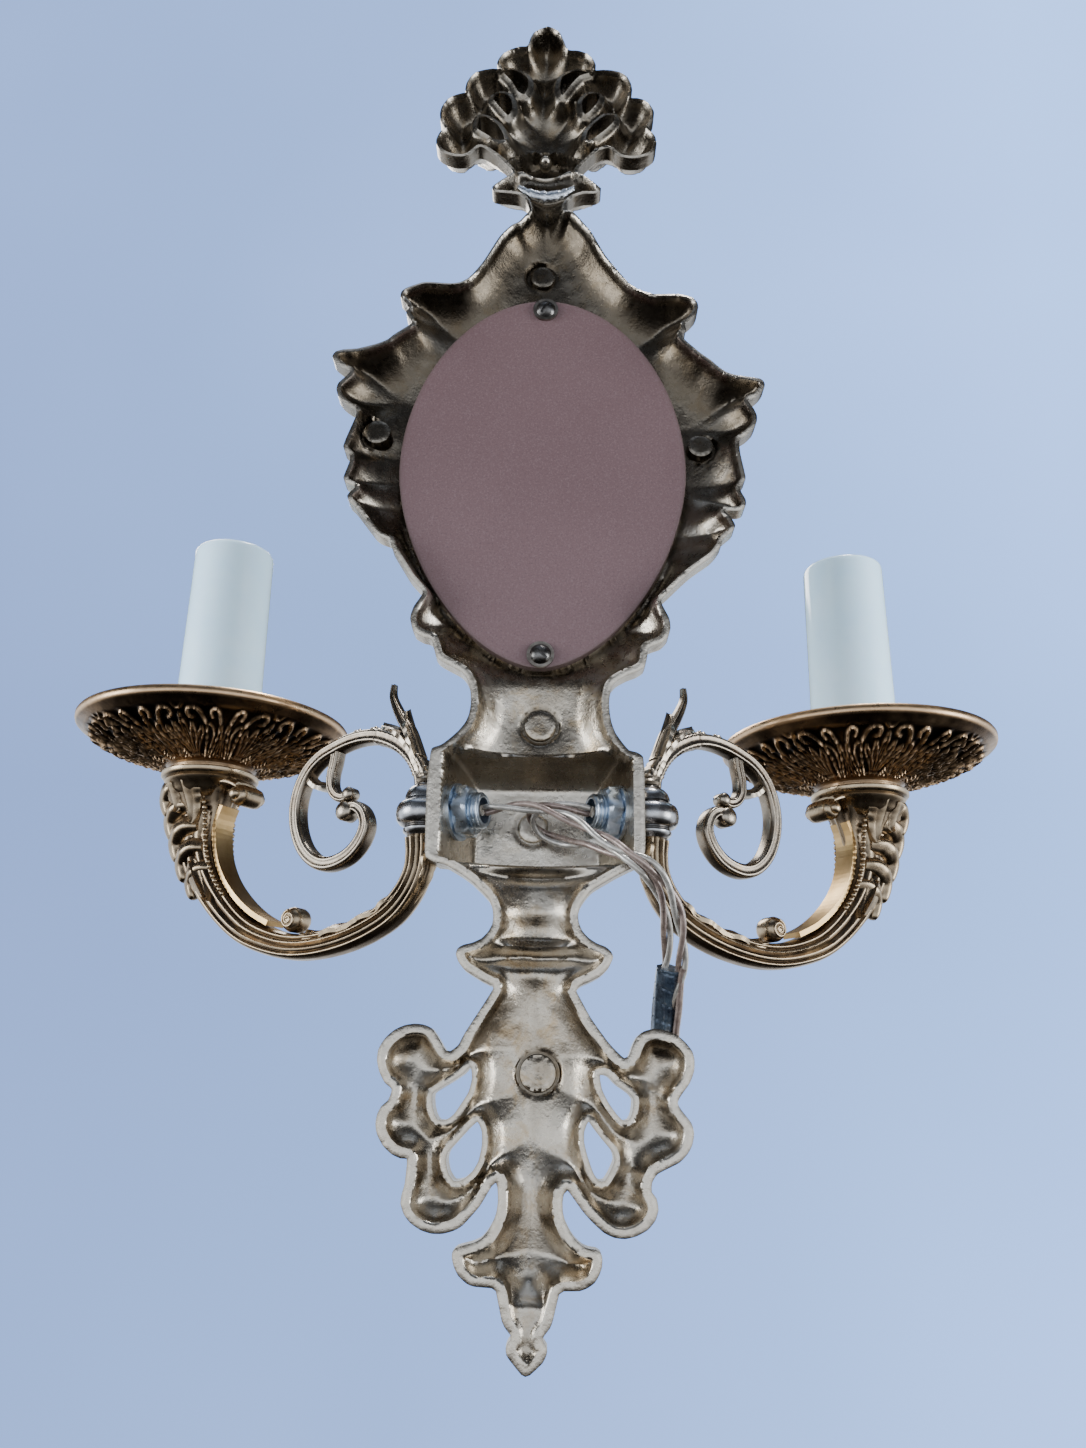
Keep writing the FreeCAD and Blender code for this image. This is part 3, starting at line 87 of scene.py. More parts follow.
OUT_LEFT = [
    (0.6, 274.0), (-1.6, 273.1), (-3.6, 271.3), (-4.9, 267.9), (-5.9, 264.6), (-7.1, 263.4), (-10.1, 263.2), (-12.9, 262.0), (-14.9, 259.6),
    (-15.8, 257.0), (-15.3, 254.7), (-18.0, 254.9), (-21.3, 254.7), (-24.1, 253.9), (-26.3, 252.1), (-27.5, 249.2), (-27.9, 246.3), (-27.4, 243.0),
    (-29.5, 242.8), (-31.7, 242.1), (-33.8, 240.0), (-35.0, 237.2), (-34.8, 234.4), (-33.0, 229.6), (-34.2, 228.4), (-35.3, 226.4), (-35.6, 223.2),
    (-34.9, 220.5), (-33.0, 218.6), (-29.7, 217.3), (-27.0, 217.1), (-24.3, 217.6), (-22.2, 219.1), (-21.1, 220.7), (-19.5, 221.3), (-17.9, 220.8),
    (-15.7, 219.6), (-11.4, 214.4), (-9.6, 211.5), (-12.5, 209.4), (-17.4, 204.7), (-15.7, 202.7), (-12.0, 202.5), (-8.8, 201.3), (-6.5, 198.8),
    (-6.0, 195.9), (-8.1, 195.7), (-12.5, 190.0), (-14.5, 187.0), (-18.8, 178.2), (-23.6, 171.2), (-25.9, 168.1), (-28.3, 166.1), (-31.1, 164.7),
    (-33.9, 163.9), (-40.6, 164.0), (-43.4, 163.6), (-45.8, 162.6), (-47.1, 160.9), (-47.3, 159.0), (-46.5, 156.7), (-45.0, 154.7), (-43.0, 152.7),
    (-43.3, 151.0), (-41.9, 149.1), (-43.0, 147.1), (-47.5, 142.5), (-50.2, 140.3), (-52.9, 137.6), (-55.1, 135.8), (-58.3, 134.7), (-65.2, 133.6),
    (-66.4, 132.1), (-66.4, 130.8), (-65.2, 128.8), (-63.4, 127.0), (-61.2, 125.8), (-62.8, 123.0), (-63.6, 120.7), (-63.5, 118.7), (-62.5, 116.4),
    (-60.4, 114.1), (-58.1, 112.4), (-58.0, 109.8), (-58.2, 107.1), (-59.2, 101.0), (-59.3, 99.1), (-57.5, 96.0), (-59.0, 92.5), (-59.1, 90.9),
    (-58.4, 89.3), (-56.9, 88.7), (-52.8, 88.7), (-54.0, 87.3), (-55.1, 85.5), (-55.7, 83.9), (-55.0, 82.3), (-51.8, 79.3), (-51.5, 77.7),
    (-50.2, 75.6), (-48.3, 73.5), (-42.5, 69.0), (-36.3, 62.7), (-33.9, 59.9), (-36.1, 54.7), (-36.4, 51.8), (-35.7, 49.2), (-33.8, 47.1),
    (-31.4, 46.2), (-30.1, 45.4), (-29.7, 42.5), (-28.9, 40.0), (-26.8, 38.5), (-24.1, 37.4), (-21.3, 35.7), (-19.9, 34.0), (-19.4, 31.7),
    (-19.2, 29.0), (-19.4, 26.2), (-19.9, 23.5), (-20.9, 20.8), (-22.7, 18.1), (-24.5, 16.0), (-26.5, 15.5), (-28.2, 14.2), (-28.5, 9.9),
    (-28.5, -1.7), (-28.5, -8.4), (-28.3, -11.7), (-27.2, -14.1), (-24.4, -16.2), (-20.8, -18.1), (-15.0, -21.6), (-13.1, -23.6), (-11.6, -25.9),
    (-11.0, -28.1), (-11.2, -30.2), (-12.1, -32.3), (-13.8, -34.1), (-15.9, -35.4), (-18.0, -36.2), (-19.4, -37.4), (-19.9, -38.8), (-18.8, -41.3),
    (-16.7, -43.4), (-14.2, -44.8), (-11.7, -45.9), (-10.6, -47.1), (-11.5, -48.9), (-14.3, -53.8), (-18.4, -59.3), (-20.9, -61.9), (-22.5, -63.2),
    (-23.6, -62.7), (-24.5, -60.3), (-25.6, -58.2), (-27.3, -56.8), (-30.0, -56.1), (-32.8, -56.5), (-35.5, -57.5), (-37.7, -59.3), (-39.3, -61.4),
    (-39.8, -63.5), (-39.6, -66.1), (-38.5, -68.8), (-35.4, -73.5), (-38.6, -78.0), (-39.2, -80.5), (-38.7, -83.0), (-37.5, -85.1), (-35.4, -87.1),
    (-30.3, -89.6), (-28.9, -91.6), (-28.8, -93.6), (-29.9, -95.0), (-30.3, -97.5), (-29.5, -99.9), (-27.7, -101.9), (-25.0, -103.3), (-22.4, -103.9),
    (-19.8, -103.7), (-17.4, -102.7), (-14.8, -100.6), (-12.4, -98.2), (-8.7, -93.6), (-7.9, -94.4), (-7.6, -96.2), (-7.7, -98.3), (-8.2, -100.3),
    (-9.5, -102.7), (-10.8, -104.3), (-12.3, -105.5), (-13.9, -106.1), (-15.6, -106.3), (-16.6, -106.9), (-17.0, -108.2), (-16.9, -109.9), (-16.3, -111.6),
    (-15.2, -113.3), (-13.6, -114.4), (-11.7, -115.1), (-8.0, -115.2), (-7.0, -115.8), (-5.6, -121.2), (-4.9, -122.9), (-3.2, -125.1), (-4.3, -127.0),
    (-4.2, -128.3), (-3.3, -130.0), (-0.4, -132.5), (0.6, -132.8)]
PIERCED = [
    [(15.4, 254.9), (12.4, 255.4), (9.0, 253.7), (6.9, 251.1), (6.9, 247.6), (8.1, 244.6), (10.2, 245.8), (12.3, 250.1), (14.7, 253.2)],
    [(-13.8, 254.4), (-10.5, 253.0), (-7.8, 249.5), (-5.8, 246.0), (-4.5, 244.3), (-3.8, 247.7), (-4.4, 251.7), (-6.4, 253.9), (-9.8, 255.2)],
    [(18.4, 242.7), (16.8, 244.9), (14.5, 244.9), (12.4, 242.4), (12.0, 238.1), (13.3, 235.5), (16.0, 238.9)],
    [(-11.5, 237.5), (-11.2, 241.8), (-13.1, 244.8), (-15.8, 245.3), (-17.1, 244.0), (-16.1, 241.0), (-13.8, 237.6), (-12.2, 236.3)],
    [(23.4, 231.2), (22.5, 235.0), (20.2, 234.6), (16.8, 231.7), (14.7, 227.5), (14.3, 224.6), (15.9, 223.7), (19.6, 227.0), (23.0, 229.5)],
    [(-12.5, 225.3), (-13.2, 229.1), (-15.8, 232.9), (-19.1, 235.9), (-21.7, 236.0), (-21.7, 233.4), (-19.1, 230.0), (-15.1, 226.2), (-13.2, 224.5)],
    [(15.3, -65.8), (14.9, -68.5), (15.6, -71.6), (17.2, -74.2), (19.0, -76.8), (20.8, -78.1), (22.7, -78.1), (23.6, -76.8), (24.2, -74.8), (24.3, -72.2), (22.5, -70.9), (19.3, -69.0), (16.9, -67.4)],
    [(-16.5, -67.3), (-18.4, -67.5), (-20.5, -69.5), (-23.3, -71.3), (-24.6, -72.8), (-24.3, -75.7), (-23.5, -77.4), (-22.1, -77.7), (-20.5, -76.2), (-18.6, -73.7), (-17.0, -70.6)],
    [(13.2, -78.5), (12.1, -80.7), (12.0, -83.8), (12.7, -87.3), (14.2, -89.8), (16.3, -91.5), (18.4, -91.8), (19.8, -89.9), (20.4, -87.4), (20.0, -85.4), (17.7, -82.8), (15.1, -80.0)],
    [(-13.7, -78.1), (-15.1, -79.8), (-17.2, -82.3), (-19.4, -84.8), (-19.9, -86.8), (-18.8, -89.3), (-17.5, -91.3), (-16.1, -91.3), (-14.8, -89.4), (-13.5, -85.9), (-12.7, -82.9), (-12.7, -80.4)],
]

OCX, OCZ = -0.2, 103.0
ZC = 23.0
KNOB_X, KNOB_Y = 30.8, 13.6
NIP_Z = 0.7
BOX_HALF, BOX_DRAFT = 28.8, math.tan(math.radians(20.0))
ARM_REACH = 85.84
CUPS = {"right": (105.0, -57.0, 0.0), "left": (-101.3, -55.6, -3.6)}
FLEX_RIGHT = [(14.35, -7.6, 0.7), (10.0, -5.4, 1.1), (4.6, -4.0, 1.1), (-2.1, -2.4, 0.0),
              (-10.0, 0.4, -3.5), (-17.1, 5.0, -9.3), (-23.2, 9.0, -13.6), (-28.2, 9.6, -16.2),
              (-32.3, 7.6, -19.9), (-35.7, 3.4, -25.2), (-37.5, -0.8, -31.6), (-38.1, -5.0, -37.4),
              (-37.7, -8.8, -43.4), (-36.3, -12.5, -50.7)]
FLEX_LEFT = [(-14.35, -7.6, 0.7), (-9.4, -6.5, 1.8), (-4.2, -7.2, 2.4), (0.8, -9.8, 2.0), (2.2, -13.8, -0.6),
             (-1.2, -15.6, -4.0), (-6.8, -13.2, -6.4), (-11.0, -8.9, -7.9), (-14.2, -4.6, -8.3),
             (-19.9, 1.4, -12.1), (-25.5, 5.2, -15.7), (-29.9, 4.2, -19.8), (-33.0, -0.6, -25.6),
             (-34.2, -5.4, -31.1), (-34.5, -9.2, -37.0), (-33.6, -12.2, -43.1), (-32.9, -15.0, -50.6)]

ARM = [(1.4, -28.6, 7.6, 6.4), (1.1, -33.0, 7.2, 6.2), (1.7, -38.0, 7.0, 6.2), (4.5, -43.5, 7.2, 6.2),
       (9.5, -48.5, 7.4, 6.4), (17.0, -52.3, 7.4, 6.8), (26.0, -55.0, 7.3, 7.2), (36.0, -56.4, 7.2, 7.6),
       (45.0, -56.1, 7.4, 8.0), (54.0, -54.0, 7.8, 8.4), (62.3, -50.5, 8.6, 8.8), (70.0, -45.0, 9.6, 9.0),
       (77.0, -38.0, 10.8, 9.4), (82.0, -31.0, 12.4, 9.8), (85.0, -24.5, 14.4, 10.0), (86.2, -17.5, 17.0, 10.6),
       (86.2, -10.5, 21.0, 13.0), (85.84, -4.6, 25.0, 19.0), (85.84, -2.4, 26.0, 24.0)]
SCROLL = [(0.6, -13.6), (1.2, -11.0), (3.4, -6.9), (7.0, -2.9), (11.1, 0.0), (16.8, 2.4), (22.4, 3.2), (28.0, 2.8), (33.6, 1.4),
          (39.2, -0.9), (43.5, -4.7), (46.1, -9.9), (47.0, -15.9), (45.9, -22.1), (43.0, -27.8), (38.7, -31.7),
          (34.0, -33.3), (29.2, -32.8), (25.0, -30.9), (21.7, -27.5), (20.2, -23.3), (21.6, -19.4), (24.4, -17.4), (27.0, -17.6)]
SCROLL_CURL = [(33.0, 1.0), (33.5, -2.9), (34.3, -6.8), (34.0, -10.5), (32.2, -13.1), (29.6, -14.2), (27.8, -13.7)]
SCROLL_LEAF = [(3.4, -6.0), (6.7, 2.4), (9.8, 7.1), (12.3, 11.4), (13.6, 14.7), (13.5, 18.1)]

PADS = [(0.9, 178.0, 4.3), (50.0, 116.6, 4.3), (-47.6, 114.8, 4.1), (-0.4, 25.6, 4.6), (1.3, -0.9, 4.4), (-1.2, -67.0, 4.8)]


# ---------------------------------------------------------------------------
# helpers
# ---------------------------------------------------------------------------
def link(ob):
    bpy.context.scene.collection.objects.link(ob)
    return ob


def mesh_object(name, verts_mm, faces, mat=None, smooth=True, sharp=None, attrs=None):
    me = bpy.data.meshes.new(name)
    me.from_pydata([tuple(float(c) * MM for c in v) for v in verts_mm], [], [tuple(int(i) for i in f) for f in faces])
    if attrs:
        for k, v in attrs.items():
            a = me.attributes.new(k, "FLOAT", "POINT")
            a.data.foreach_set("value", np.asarray(v, dtype=np.float32))
    me.validate()
    bm = bmesh.new()
    bm.from_mesh(me)
    bmesh.ops.recalc_face_normals(bm, faces=bm.faces)
    bm.to_mesh(me)
    bm.free()
    if smooth:
        me.shade_smooth()
        if sharp is not None:
            me.set_sharp_from_angle(angle=math.radians(sharp))
    ob = bpy.data.objects.new(name, me)
    if mat is not None:
        me.materials.append(mat)
    return link(ob)


class Build:
    """Collects several closed shells into one mesh."""

    def __init__(self):
        self.v, self.f, self.n = [], [], 0
        self.a = {}

    def add(self, verts, faces, **attrs):
        verts = [tuple(map(float, p)) for p in verts]
        self.v += verts
        self.f += [tuple(i + self.n for i in f) for f in faces]
        for k in set(self.a) | set(attrs):
            self.a.setdefault(k, [0.0] * self.n)
            val = attrs.get(k, 0.0)
            self.a[k] += list(val) if hasattr(val, "__len__") else [float(val)] * len(verts)
        self.n += len(verts)

    def obj(self, name, mat, sharp=None):
        return mesh_object(name, self.v, self.f, mat, True, sharp, self.a)


def catmull(points, k):
    P = np.asarray(points, float)
    n = len(P)
    out = []
    for i in range(n - 1):
        p0, p1, p2, p3 = P[max(0, i - 1)], P[i], P[i + 1], P[min(n - 1, i + 2)]
        for j in range(k):
            t = j / k
            out.append(0.5 * (2 * p1 + (p2 - p0) * t + (2 * p0 - 5 * p1 + 4 * p2 - p3) * t * t + (3 * p1 - p0 - 3 * p2 + p3) * t ** 3))
    out.append(P[-1])
    return np.array(out)


def closed_smooth(points, step):
    P = np.asarray(points, float)
    n = len(P)
    out = []
    for i in range(n):
        p0, p1, p2, p3 = P[(i - 1) % n], P[i], P[(i + 1) % n], P[(i + 2) % n]
        m = max(1, int(round(np.linalg.norm(p2 - p1) / step)))
        for j in range(m):
            t = j / m
            c = 0.5 * (2 * p1 + (p2 - p0) * t + (2 * p0 - 5 * p1 + 4 * p2 - p3) * t * t + (3 * p1 - p0 - 3 * p2 + p3) * t ** 3)
            lin = p1 + (p2 - p1) * t
            out.append(0.6 * c + 0.4 * lin)
    return np.array(out)


def seg_distance(pts, loops):
    """Distance of points to closed polylines."""
    A = np.vstack([l for l in loops])
    B = np.vstack([np.roll(l, -1, 0) for l in loops])
    D = B - A
    L2 = (D ** 2).sum(1) + 1e-12
    out = np.empty(len(pts))
    for i in range(0, len(pts), 1500):
        p = pts[i:i + 1500]
        w = p[:, None, :] - A[None]
        t = np.clip((w * D[None]).sum(2) / L2, 0, 1)
        q = w - t[..., None] * D[None]
        out[i:i + 1500] = np.sqrt((q ** 2).sum(2).min(1))
    return out


def inside(pts, loop):
    x, y = pts[:, 0], pts[:, 1]
    r = np.zeros(len(pts), bool)
    n = len(loop)
    for i in range(n):
        x0, y0 = loop[i]
        x1, y1 = loop[(i + 1) % n]
        if y0 == y1:
            continue
        c = ((y0 > y) != (y1 > y)) & (x < (x1 - x0) * (y - y0) / (y1 - y0) + x0)
        r ^= c
    return r


def sstep(x):
    x = np.clip(x, 0, 1)
    return x * x * (3 - 2 * x)


def vnoise(p, scale, seed=0):
    """Smooth value noise in the plane or in space."""
    r = np.random.RandomState(seed)
    tab = r.rand(64, 64, 8)
    q = np.asarray(p, float) / scale
    if q.shape[1] == 2:
        q = np.column_stack([q, np.zeros(len(q))])
    i = np.floor(q).astype(int)
    f = q - i
    f = f * f * (3 - 2 * f)
    out = 0
    for dx in (0, 1):
        for dy in (0, 1):
            for dz in (0, 1):
                w = (f[:, 0] if dx else 1 - f[:, 0]) * (f[:, 1] if dy else 1 - f[:, 1]) * (f[:, 2] if dz else 1 - f[:, 2])
                out = out + w * tab[(i[:, 0] + dx) % 64, (i[:, 1] + dy) % 64, (i[:, 2] + dz) % 8]
    return out - 0.5


def lathe(profile, cx, cy, seg=96, closed=True, disp=None):
    """profile (r, z) closed loop turned about a vertical axis; returns verts, faces."""
    P = np.asarray(profile, float)
    m = len(P)
    verts, faces = [], []
    for k in range(seg):
        a = 2 * math.pi * k / seg
        for j in range(m):
            r, z = P[j]
            if disp is not None:
                dr, dz = disp(a, j)
                r, z = r + dr, z + dz
            verts.append((cx + r * math.cos(a), cy + r * math.sin(a), z))
    for k in range(seg):
        k2 = (k + 1) % seg
        for j in range(m if closed else m - 1):
            j2 = (j + 1) % m
            faces.append((k * m + j, k * m + j2, k2 * m + j2, k2 * m + j))
    return verts, faces


def loft(rings, cap=True, close_ring=True):
    """rings: list of (m,3) arrays; returns verts, faces of a closed tube."""
    m = len(rings[0])
    verts = [tuple(p) for r in rings for p in r]
    faces = []
    for i in range(len(rings) - 1):
        for j in range(m if close_ring else m - 1):
            j2 = (j + 1) % m
            faces.append((i * m + j, i * m + j2, (i + 1) * m + j2, (i + 1) * m + j))
    if cap:
        for i, rev in ((0, True), (len(rings) - 1, False)):
            c = np.mean(rings[i], axis=0)
            verts.append(tuple(c))
            q = len(verts) - 1
            for j in range(m):
                j2 = (j + 1) % m
                faces.append((i * m + j2, i * m + j, q) if rev else (i * m + j, i * m + j2, q))
    return verts, faces


def unit(v):
    v = np.asarray(v, float)
    return v / np.linalg.norm(v)


def ball(c, r, seg=12, squash=(1, 1, 1)):
    c = np.asarray(c, float)
    verts, faces = [], []
    rows = seg // 2
    for i in range(1, rows):
        t = math.pi * i / rows
        for j in range(seg):
            a = 2 * math.pi * j / seg
            verts.append(c + r * np.array([math.sin(t) * math.cos(a) * squash[0], math.sin(t) * math.sin(a) * squash[1], math.cos(t) * squash[2]]))
    for i in range(rows - 2):
        for j in range(seg):
            j2 = (j + 1) % seg
            faces.append((i * seg + j, i * seg + j2, (i + 1) * seg + j2, (i + 1) * seg + j))
    verts.append(c + np.array([0, 0, r * squash[2]]))
    verts.append(c - np.array([0, 0, r * squash[2]]))
    n = len(verts)
    for j in range(seg):
        j2 = (j + 1) % seg
        faces.append((j2, j, n - 2))
        faces.append(((rows - 2) * seg + j, (rows - 2) * seg + j2, n - 1))
    return verts, faces


def tube_along(P, R, seg=12, up=None):
    """Round tube of radius R (number or list) along points P."""
    P = np.asarray(P, float)
    n = len(P)
    T = np.gradient(P, axis=0)
    T /= np.linalg.norm(T, axis=1)[:, None]
    u = unit(np.cross(T[0], up if up is not None else ([0, 0, 1] if abs(T[0][2]) < 0.9 else [1, 0, 0])))
    rings = []
    for i in range(n):
        u = unit(u - T[i] * np.dot(u, T[i]))
        w = np.cross(T[i], u)
        r = R if np.isscalar(R) else R[i]
        rings.append(np.array([P[i] + r * (math.cos(a) * u + math.sin(a) * w) for a in np.linspace(0, 2 * math.pi, seg, endpoint=False)]))
    return loft(rings)


# ---------------------------------------------------------------------------
# materials
# ---------------------------------------------------------------------------
def new_mat(name):
    m = bpy.data.materials.new(name)
    m.use_nodes = True
    nt = m.node_tree
    nt.nodes.clear()
    out = nt.nodes.new("ShaderNodeOutputMaterial")
    b = nt.nodes.new("ShaderNodeBsdfPrincipled")
    nt.links.new(b.outputs[0], out.inputs[0])
    return m, nt, b


class N:
    def __init__(self, nt):
        self.nt = nt
        self.co = nt.nodes.new("ShaderNodeTexCoord").outputs["Object"]

    def noise(self, scale, detail=4.0, rough=0.55, dist=0.0, co=None):
        n = self.nt.nodes.new("ShaderNodeTexNoise")
        n.inputs["Scale"].default_value = scale
        n.inputs["Detail"].default_value = detail
        n.inputs["Roughness"].default_value = rough
        n.inputs["Distortion"].default_value = dist
        self.nt.links.new(co or self.co, n.inputs["Vector"])
        return n.outputs["Fac"]

    def voronoi(self, scale, feature="F1"):
        n = self.nt.nodes.new("ShaderNodeTexVoronoi")
        n.feature = feature
        n.inputs["Scale"].default_value = scale
        self.nt.links.new(self.co, n.inputs["Vector"])
        return n.outputs["Distance"]

    def ramp(self, fac, stops):
        r = self.nt.nodes.new("ShaderNodeValToRGB")
        e = r.color_ramp.elements
        while len(e) < len(stops):
            e.new(0.5)
        for i, (p, c) in enumerate(stops):
            e[i].position = p
            if not hasattr(c, "__len__"):
                c = (c, c, c)
            e[i].color = (*c[:3], 1.0)
        self.nt.links.new(fac, r.inputs["Fac"])
        return r.outputs["Color"]

    def mix(self, fac, a, b, mode="MIX"):
        m = self.nt.nodes.new("ShaderNodeMix")
        m.data_type = "RGBA"
        m.blend_type = mode
        for s, v in ((m.inputs[0], fac), (m.inputs[6], a), (m.inputs[7], b)):
            if hasattr(v, "is_linked") or hasattr(v, "links"):
                self.nt.links.new(v, s)
            elif hasattr(v, "__len__"):
                s.default_value = (*v[:3], 1.0)
            else:
                s.default_value = v if s == m.inputs[0] else (v, v, v, 1.0)
        return m.outputs[2]

    def math(self, op, a, b=None, clamp=False):
        m = self.nt.nodes.new("ShaderNodeMath")
        m.operation = op
        m.use_clamp = clamp
        for i, v in enumerate((a, b)):
            if v is None:
                continue
            if hasattr(v, "links"):
                self.nt.links.new(v, m.inputs[i])
            else:
                m.inputs[i].default_value = v
        return m.outputs[0]

    def attr(self, name):
        a = self.nt.nodes.new("ShaderNodeAttribute")
        a.attribute_name = name
        return a.outputs["Fac"]

    def bump(self, height, dist, strength=1.0, normal=None):
        b = self.nt.nodes.new("ShaderNodeBump")
        b.inputs["Strength"].default_value = strength
        b.inputs["Distance"].default_value = dist
        self.nt.links.new(height, b.inputs["Height"])
        if normal is not None:
            self.nt.links.new(normal, b.inputs["Normal"])
        return b.outputs["Normal"]

    def pointy(self):
        return self.nt.nodes.new("ShaderNodeNewGeometry").outputs["Pointiness"]


def cast_material(name, light, mid, dark, stain, r0=0.30, r1=0.62, grain=1.0, wear_and_sheen=1.0, relief=0.0, patch=38.0):
    """Patinated cast brass: worn bright on its high edges, with a painted sheen where the rim attribute marks the box
    floor; patina plus painted shade darkens its recesses, creases and down-facing walls.
    """
    m, nt, b = new_mat(name)
    n = N(nt)
    big = n.noise(patch, 5.0, 0.6, 0.4)
    fine = n.noise(420.0, 4.0, 0.65)
    col = n.ramp(big, [(0.18, dark), (0.44, mid), (0.70, light)])
    spots = n.ramp(n.noise(150.0, 6.0, 0.7, 0.6), [(0.50, 0.0), (0.66, 1.0)])
    col = n.mix(n.math("MULTIPLY", spots, 0.55), col, stain)
    specks = n.ramp(n.noise(900.0, 3.0, 0.6), [(0.60, 0.0), (0.72, 1.0)])
    col = n.mix(n.math("MULTIPLY", specks, 0.35), col, tuple(c * 0.45 for c in dark))
    # patina in the hollows plus painted shade: the attribute darkens recesses, steep and down-facing walls
    deep = n.attr("deep")
    col = n.mix(n.math("MULTIPLY", deep, 0.93, True), col, tuple(c * 0.30 for c in dark))
    rim = n.attr("rim")
    # bright worn metal on high edges, and a painted sheen where the rim attribute marks the box floor
    worn_and_sheen = n.mix(n.math("MULTIPLY", fine, 0.6), tuple(min(1.0, c * 1.25) for c in light), mid)
    col = n.mix(n.math("MULTIPLY", rim, wear_and_sheen, True), col, worn_and_sheen)
    pt = n.pointy()
    edge = n.ramp(pt, [(0.505, 0.0), (0.56, 1.0)])
    # painted shade: concave creases found by pointiness are darkened
    pit = n.ramp(pt, [(0.42, 1.0), (0.495, 0.0)])
    col = n.mix(n.math("MULTIPLY", edge, 0.55 + 0.4 * relief, True), col, tuple(min(1.0, c * 1.2) for c in light))
    col = n.mix(n.math("MULTIPLY", pit, 0.55 + 0.4 * relief, True), col, tuple(c * 0.35 for c in dark))
    nt.links.new(col, b.inputs["Base Color"])
    b.inputs["Metallic"].default_value = 1.0
    rr = n.ramp(n.math("ADD", n.math("MULTIPLY", big, 0.5), n.math("MULTIPLY", fine, 0.5)), [(0.32, r0), (0.68, r1)])
    nt.links.new(rr, b.inputs["Roughness"])
    h = n.math("ADD", n.math("MULTIPLY", n.noise(260.0, 5.0, 0.6), 1.0), n.math("MULTIPLY", n.noise(1400.0, 3.0, 0.6), 0.35))
    pits = n.ramp(n.voronoi(330.0), [(0.0, 0.0), (0.16, 1.0)])
    h = n.math("ADD", h, n.math("MULTIPLY", pits, 0.25))
    nt.links.new(n.bump(h, 0.00022 * grain, 0.8), b.inputs["Normal"])
    return m


def simple_material(name, c0, c1, metallic, r0, r1, scale=300.0, bump=0.00008, coat=0.0, spec=None, **kw):
    m, nt, b = new_mat(name)
    n = N(nt)
    f = n.noise(scale, 5.0, 0.6)
    nt.links.new(n.ramp(f, [(0.35, c0), (0.65, c1)]), b.inputs["Base Color"])
    nt.links.new(n.ramp(n.noise(scale * 0.4, 4.0, 0.6), [(0.35, r0), (0.68, r1)]), b.inputs["Roughness"])
    b.inputs["Metallic"].default_value = metallic
    if coat:
        b.inputs["Coat Weight"].default_value = coat
        b.inputs["Coat Roughness"].default_value = 0.08
    for k, v in kw.items():
        b.inputs[k].default_value = v
    nt.links.new(n.bump(n.noise(scale * 2.2, 4.0, 0.6), bump, 0.6), b.inputs["Normal"])
    return m


M_BACK = cast_material("cast_back", (0.64, 0.585, 0.50), (0.49, 0.43, 0.345), (0.21, 0.16, 0.105), (0.38, 0.25, 0.11), 0.17, 0.38, 1.0, 0.80, -0.9)
M_ARM = cast_material("cast_arm", (0.42, 0.325, 0.215), (0.155, 0.118, 0.082), (0.055, 0.040, 0.028), (0.22, 0.135, 0.065), 0.18, 0.38, 0.3, 0.70, 0.8, 60.0)
M_SCROLL = cast_material("cast_scroll", (0.36, 0.31, 0.245), (0.17, 0.14, 0.11), (0.07, 0.055, 0.042), (0.24, 0.155, 0.085), 0.18, 0.38, 0.3, 0.65, 0.7, 60.0)
M_PAN = cast_material("cast_pan", (0.70, 0.47, 0.27), (0.15, 0.10, 0.065), (0.035, 0.024, 0.018), (0.085, 0.05, 0.028), 0.22, 0.42, 0.3, 0.95, 0.6, 70.0)
M_KNOB = cast_material("cast_knob", (0.50, 0.51, 0.53), (0.25, 0.235, 0.22), (0.08, 0.07, 0.06), (0.20, 0.14, 0.09), 0.14, 0.32, 0.2, 0.8, 0.4, 80.0)
M_STRIP = simple_material("strip_brass", (0.55, 0.35, 0.145), (0.72, 0.50, 0.245), 1.0, 0.28, 0.42, 120.0, 0.00005)
# painted highlight: bright silver for the strip that stands in for the glint across the neck
M_GLINT_SILVER = simple_material("glint_silver", (0.60, 0.64, 0.70), (0.86, 0.89, 0.94), 1.0, 0.12, 0.30, 500.0, 0.0004)
M_ZINC = simple_material("zinc_plate", (0.46, 0.55, 0.66), (0.72, 0.80, 0.90), 1.0, 0.22, 0.42, 420.0, 0.00006)
M_SCREW = simple_material("screw_steel", (0.07, 0.065, 0.06), (0.20, 0.19, 0.18), 1.0, 0.22, 0.45, 500.0, 0.00010)
M_WASHER = simple_material("washer_metal", (0.20, 0.175, 0.15), (0.42, 0.38, 0.33), 1.0, 0.28, 0.5, 420.0, 0.00008)
M_PLASTIC = simple_material("candle_plastic", (0.60, 0.815, 0.97), (0.66, 0.855, 0.98), 0.0, 0.09, 0.16, 90.0, 0.00003, 0.4)
M_HOLDER = simple_material("holder_plastic", (0.70, 0.69, 0.66), (0.80, 0.79, 0.76), 0.0, 0.40, 0.58, 200.0, 0.00006)
M_SHELL = simple_material("shell_metal", (0.62, 0.52, 0.30), (0.78, 0.68, 0.44), 1.0, 0.25, 0.4, 300.0, 0.00005)
M_COPPER = simple_material("flex_copper", (0.19, 0.135, 0.115), (0.36, 0.275, 0.235), 0.45, 0.20, 0.34, 500.0, 0.00006, 0.8)
M_CLEAR = simple_material("flex_silver", (0.36, 0.325, 0.285), (0.62, 0.585, 0.535), 0.55, 0.18, 0.30, 500.0, 0.00006, 0.9)
M_TAPE = simple_material("tape_black", (0.022, 0.032, 0.055), (0.10, 0.14, 0.19), 0.45, 0.14, 0.34, 260.0, 0.0003, 0.5)


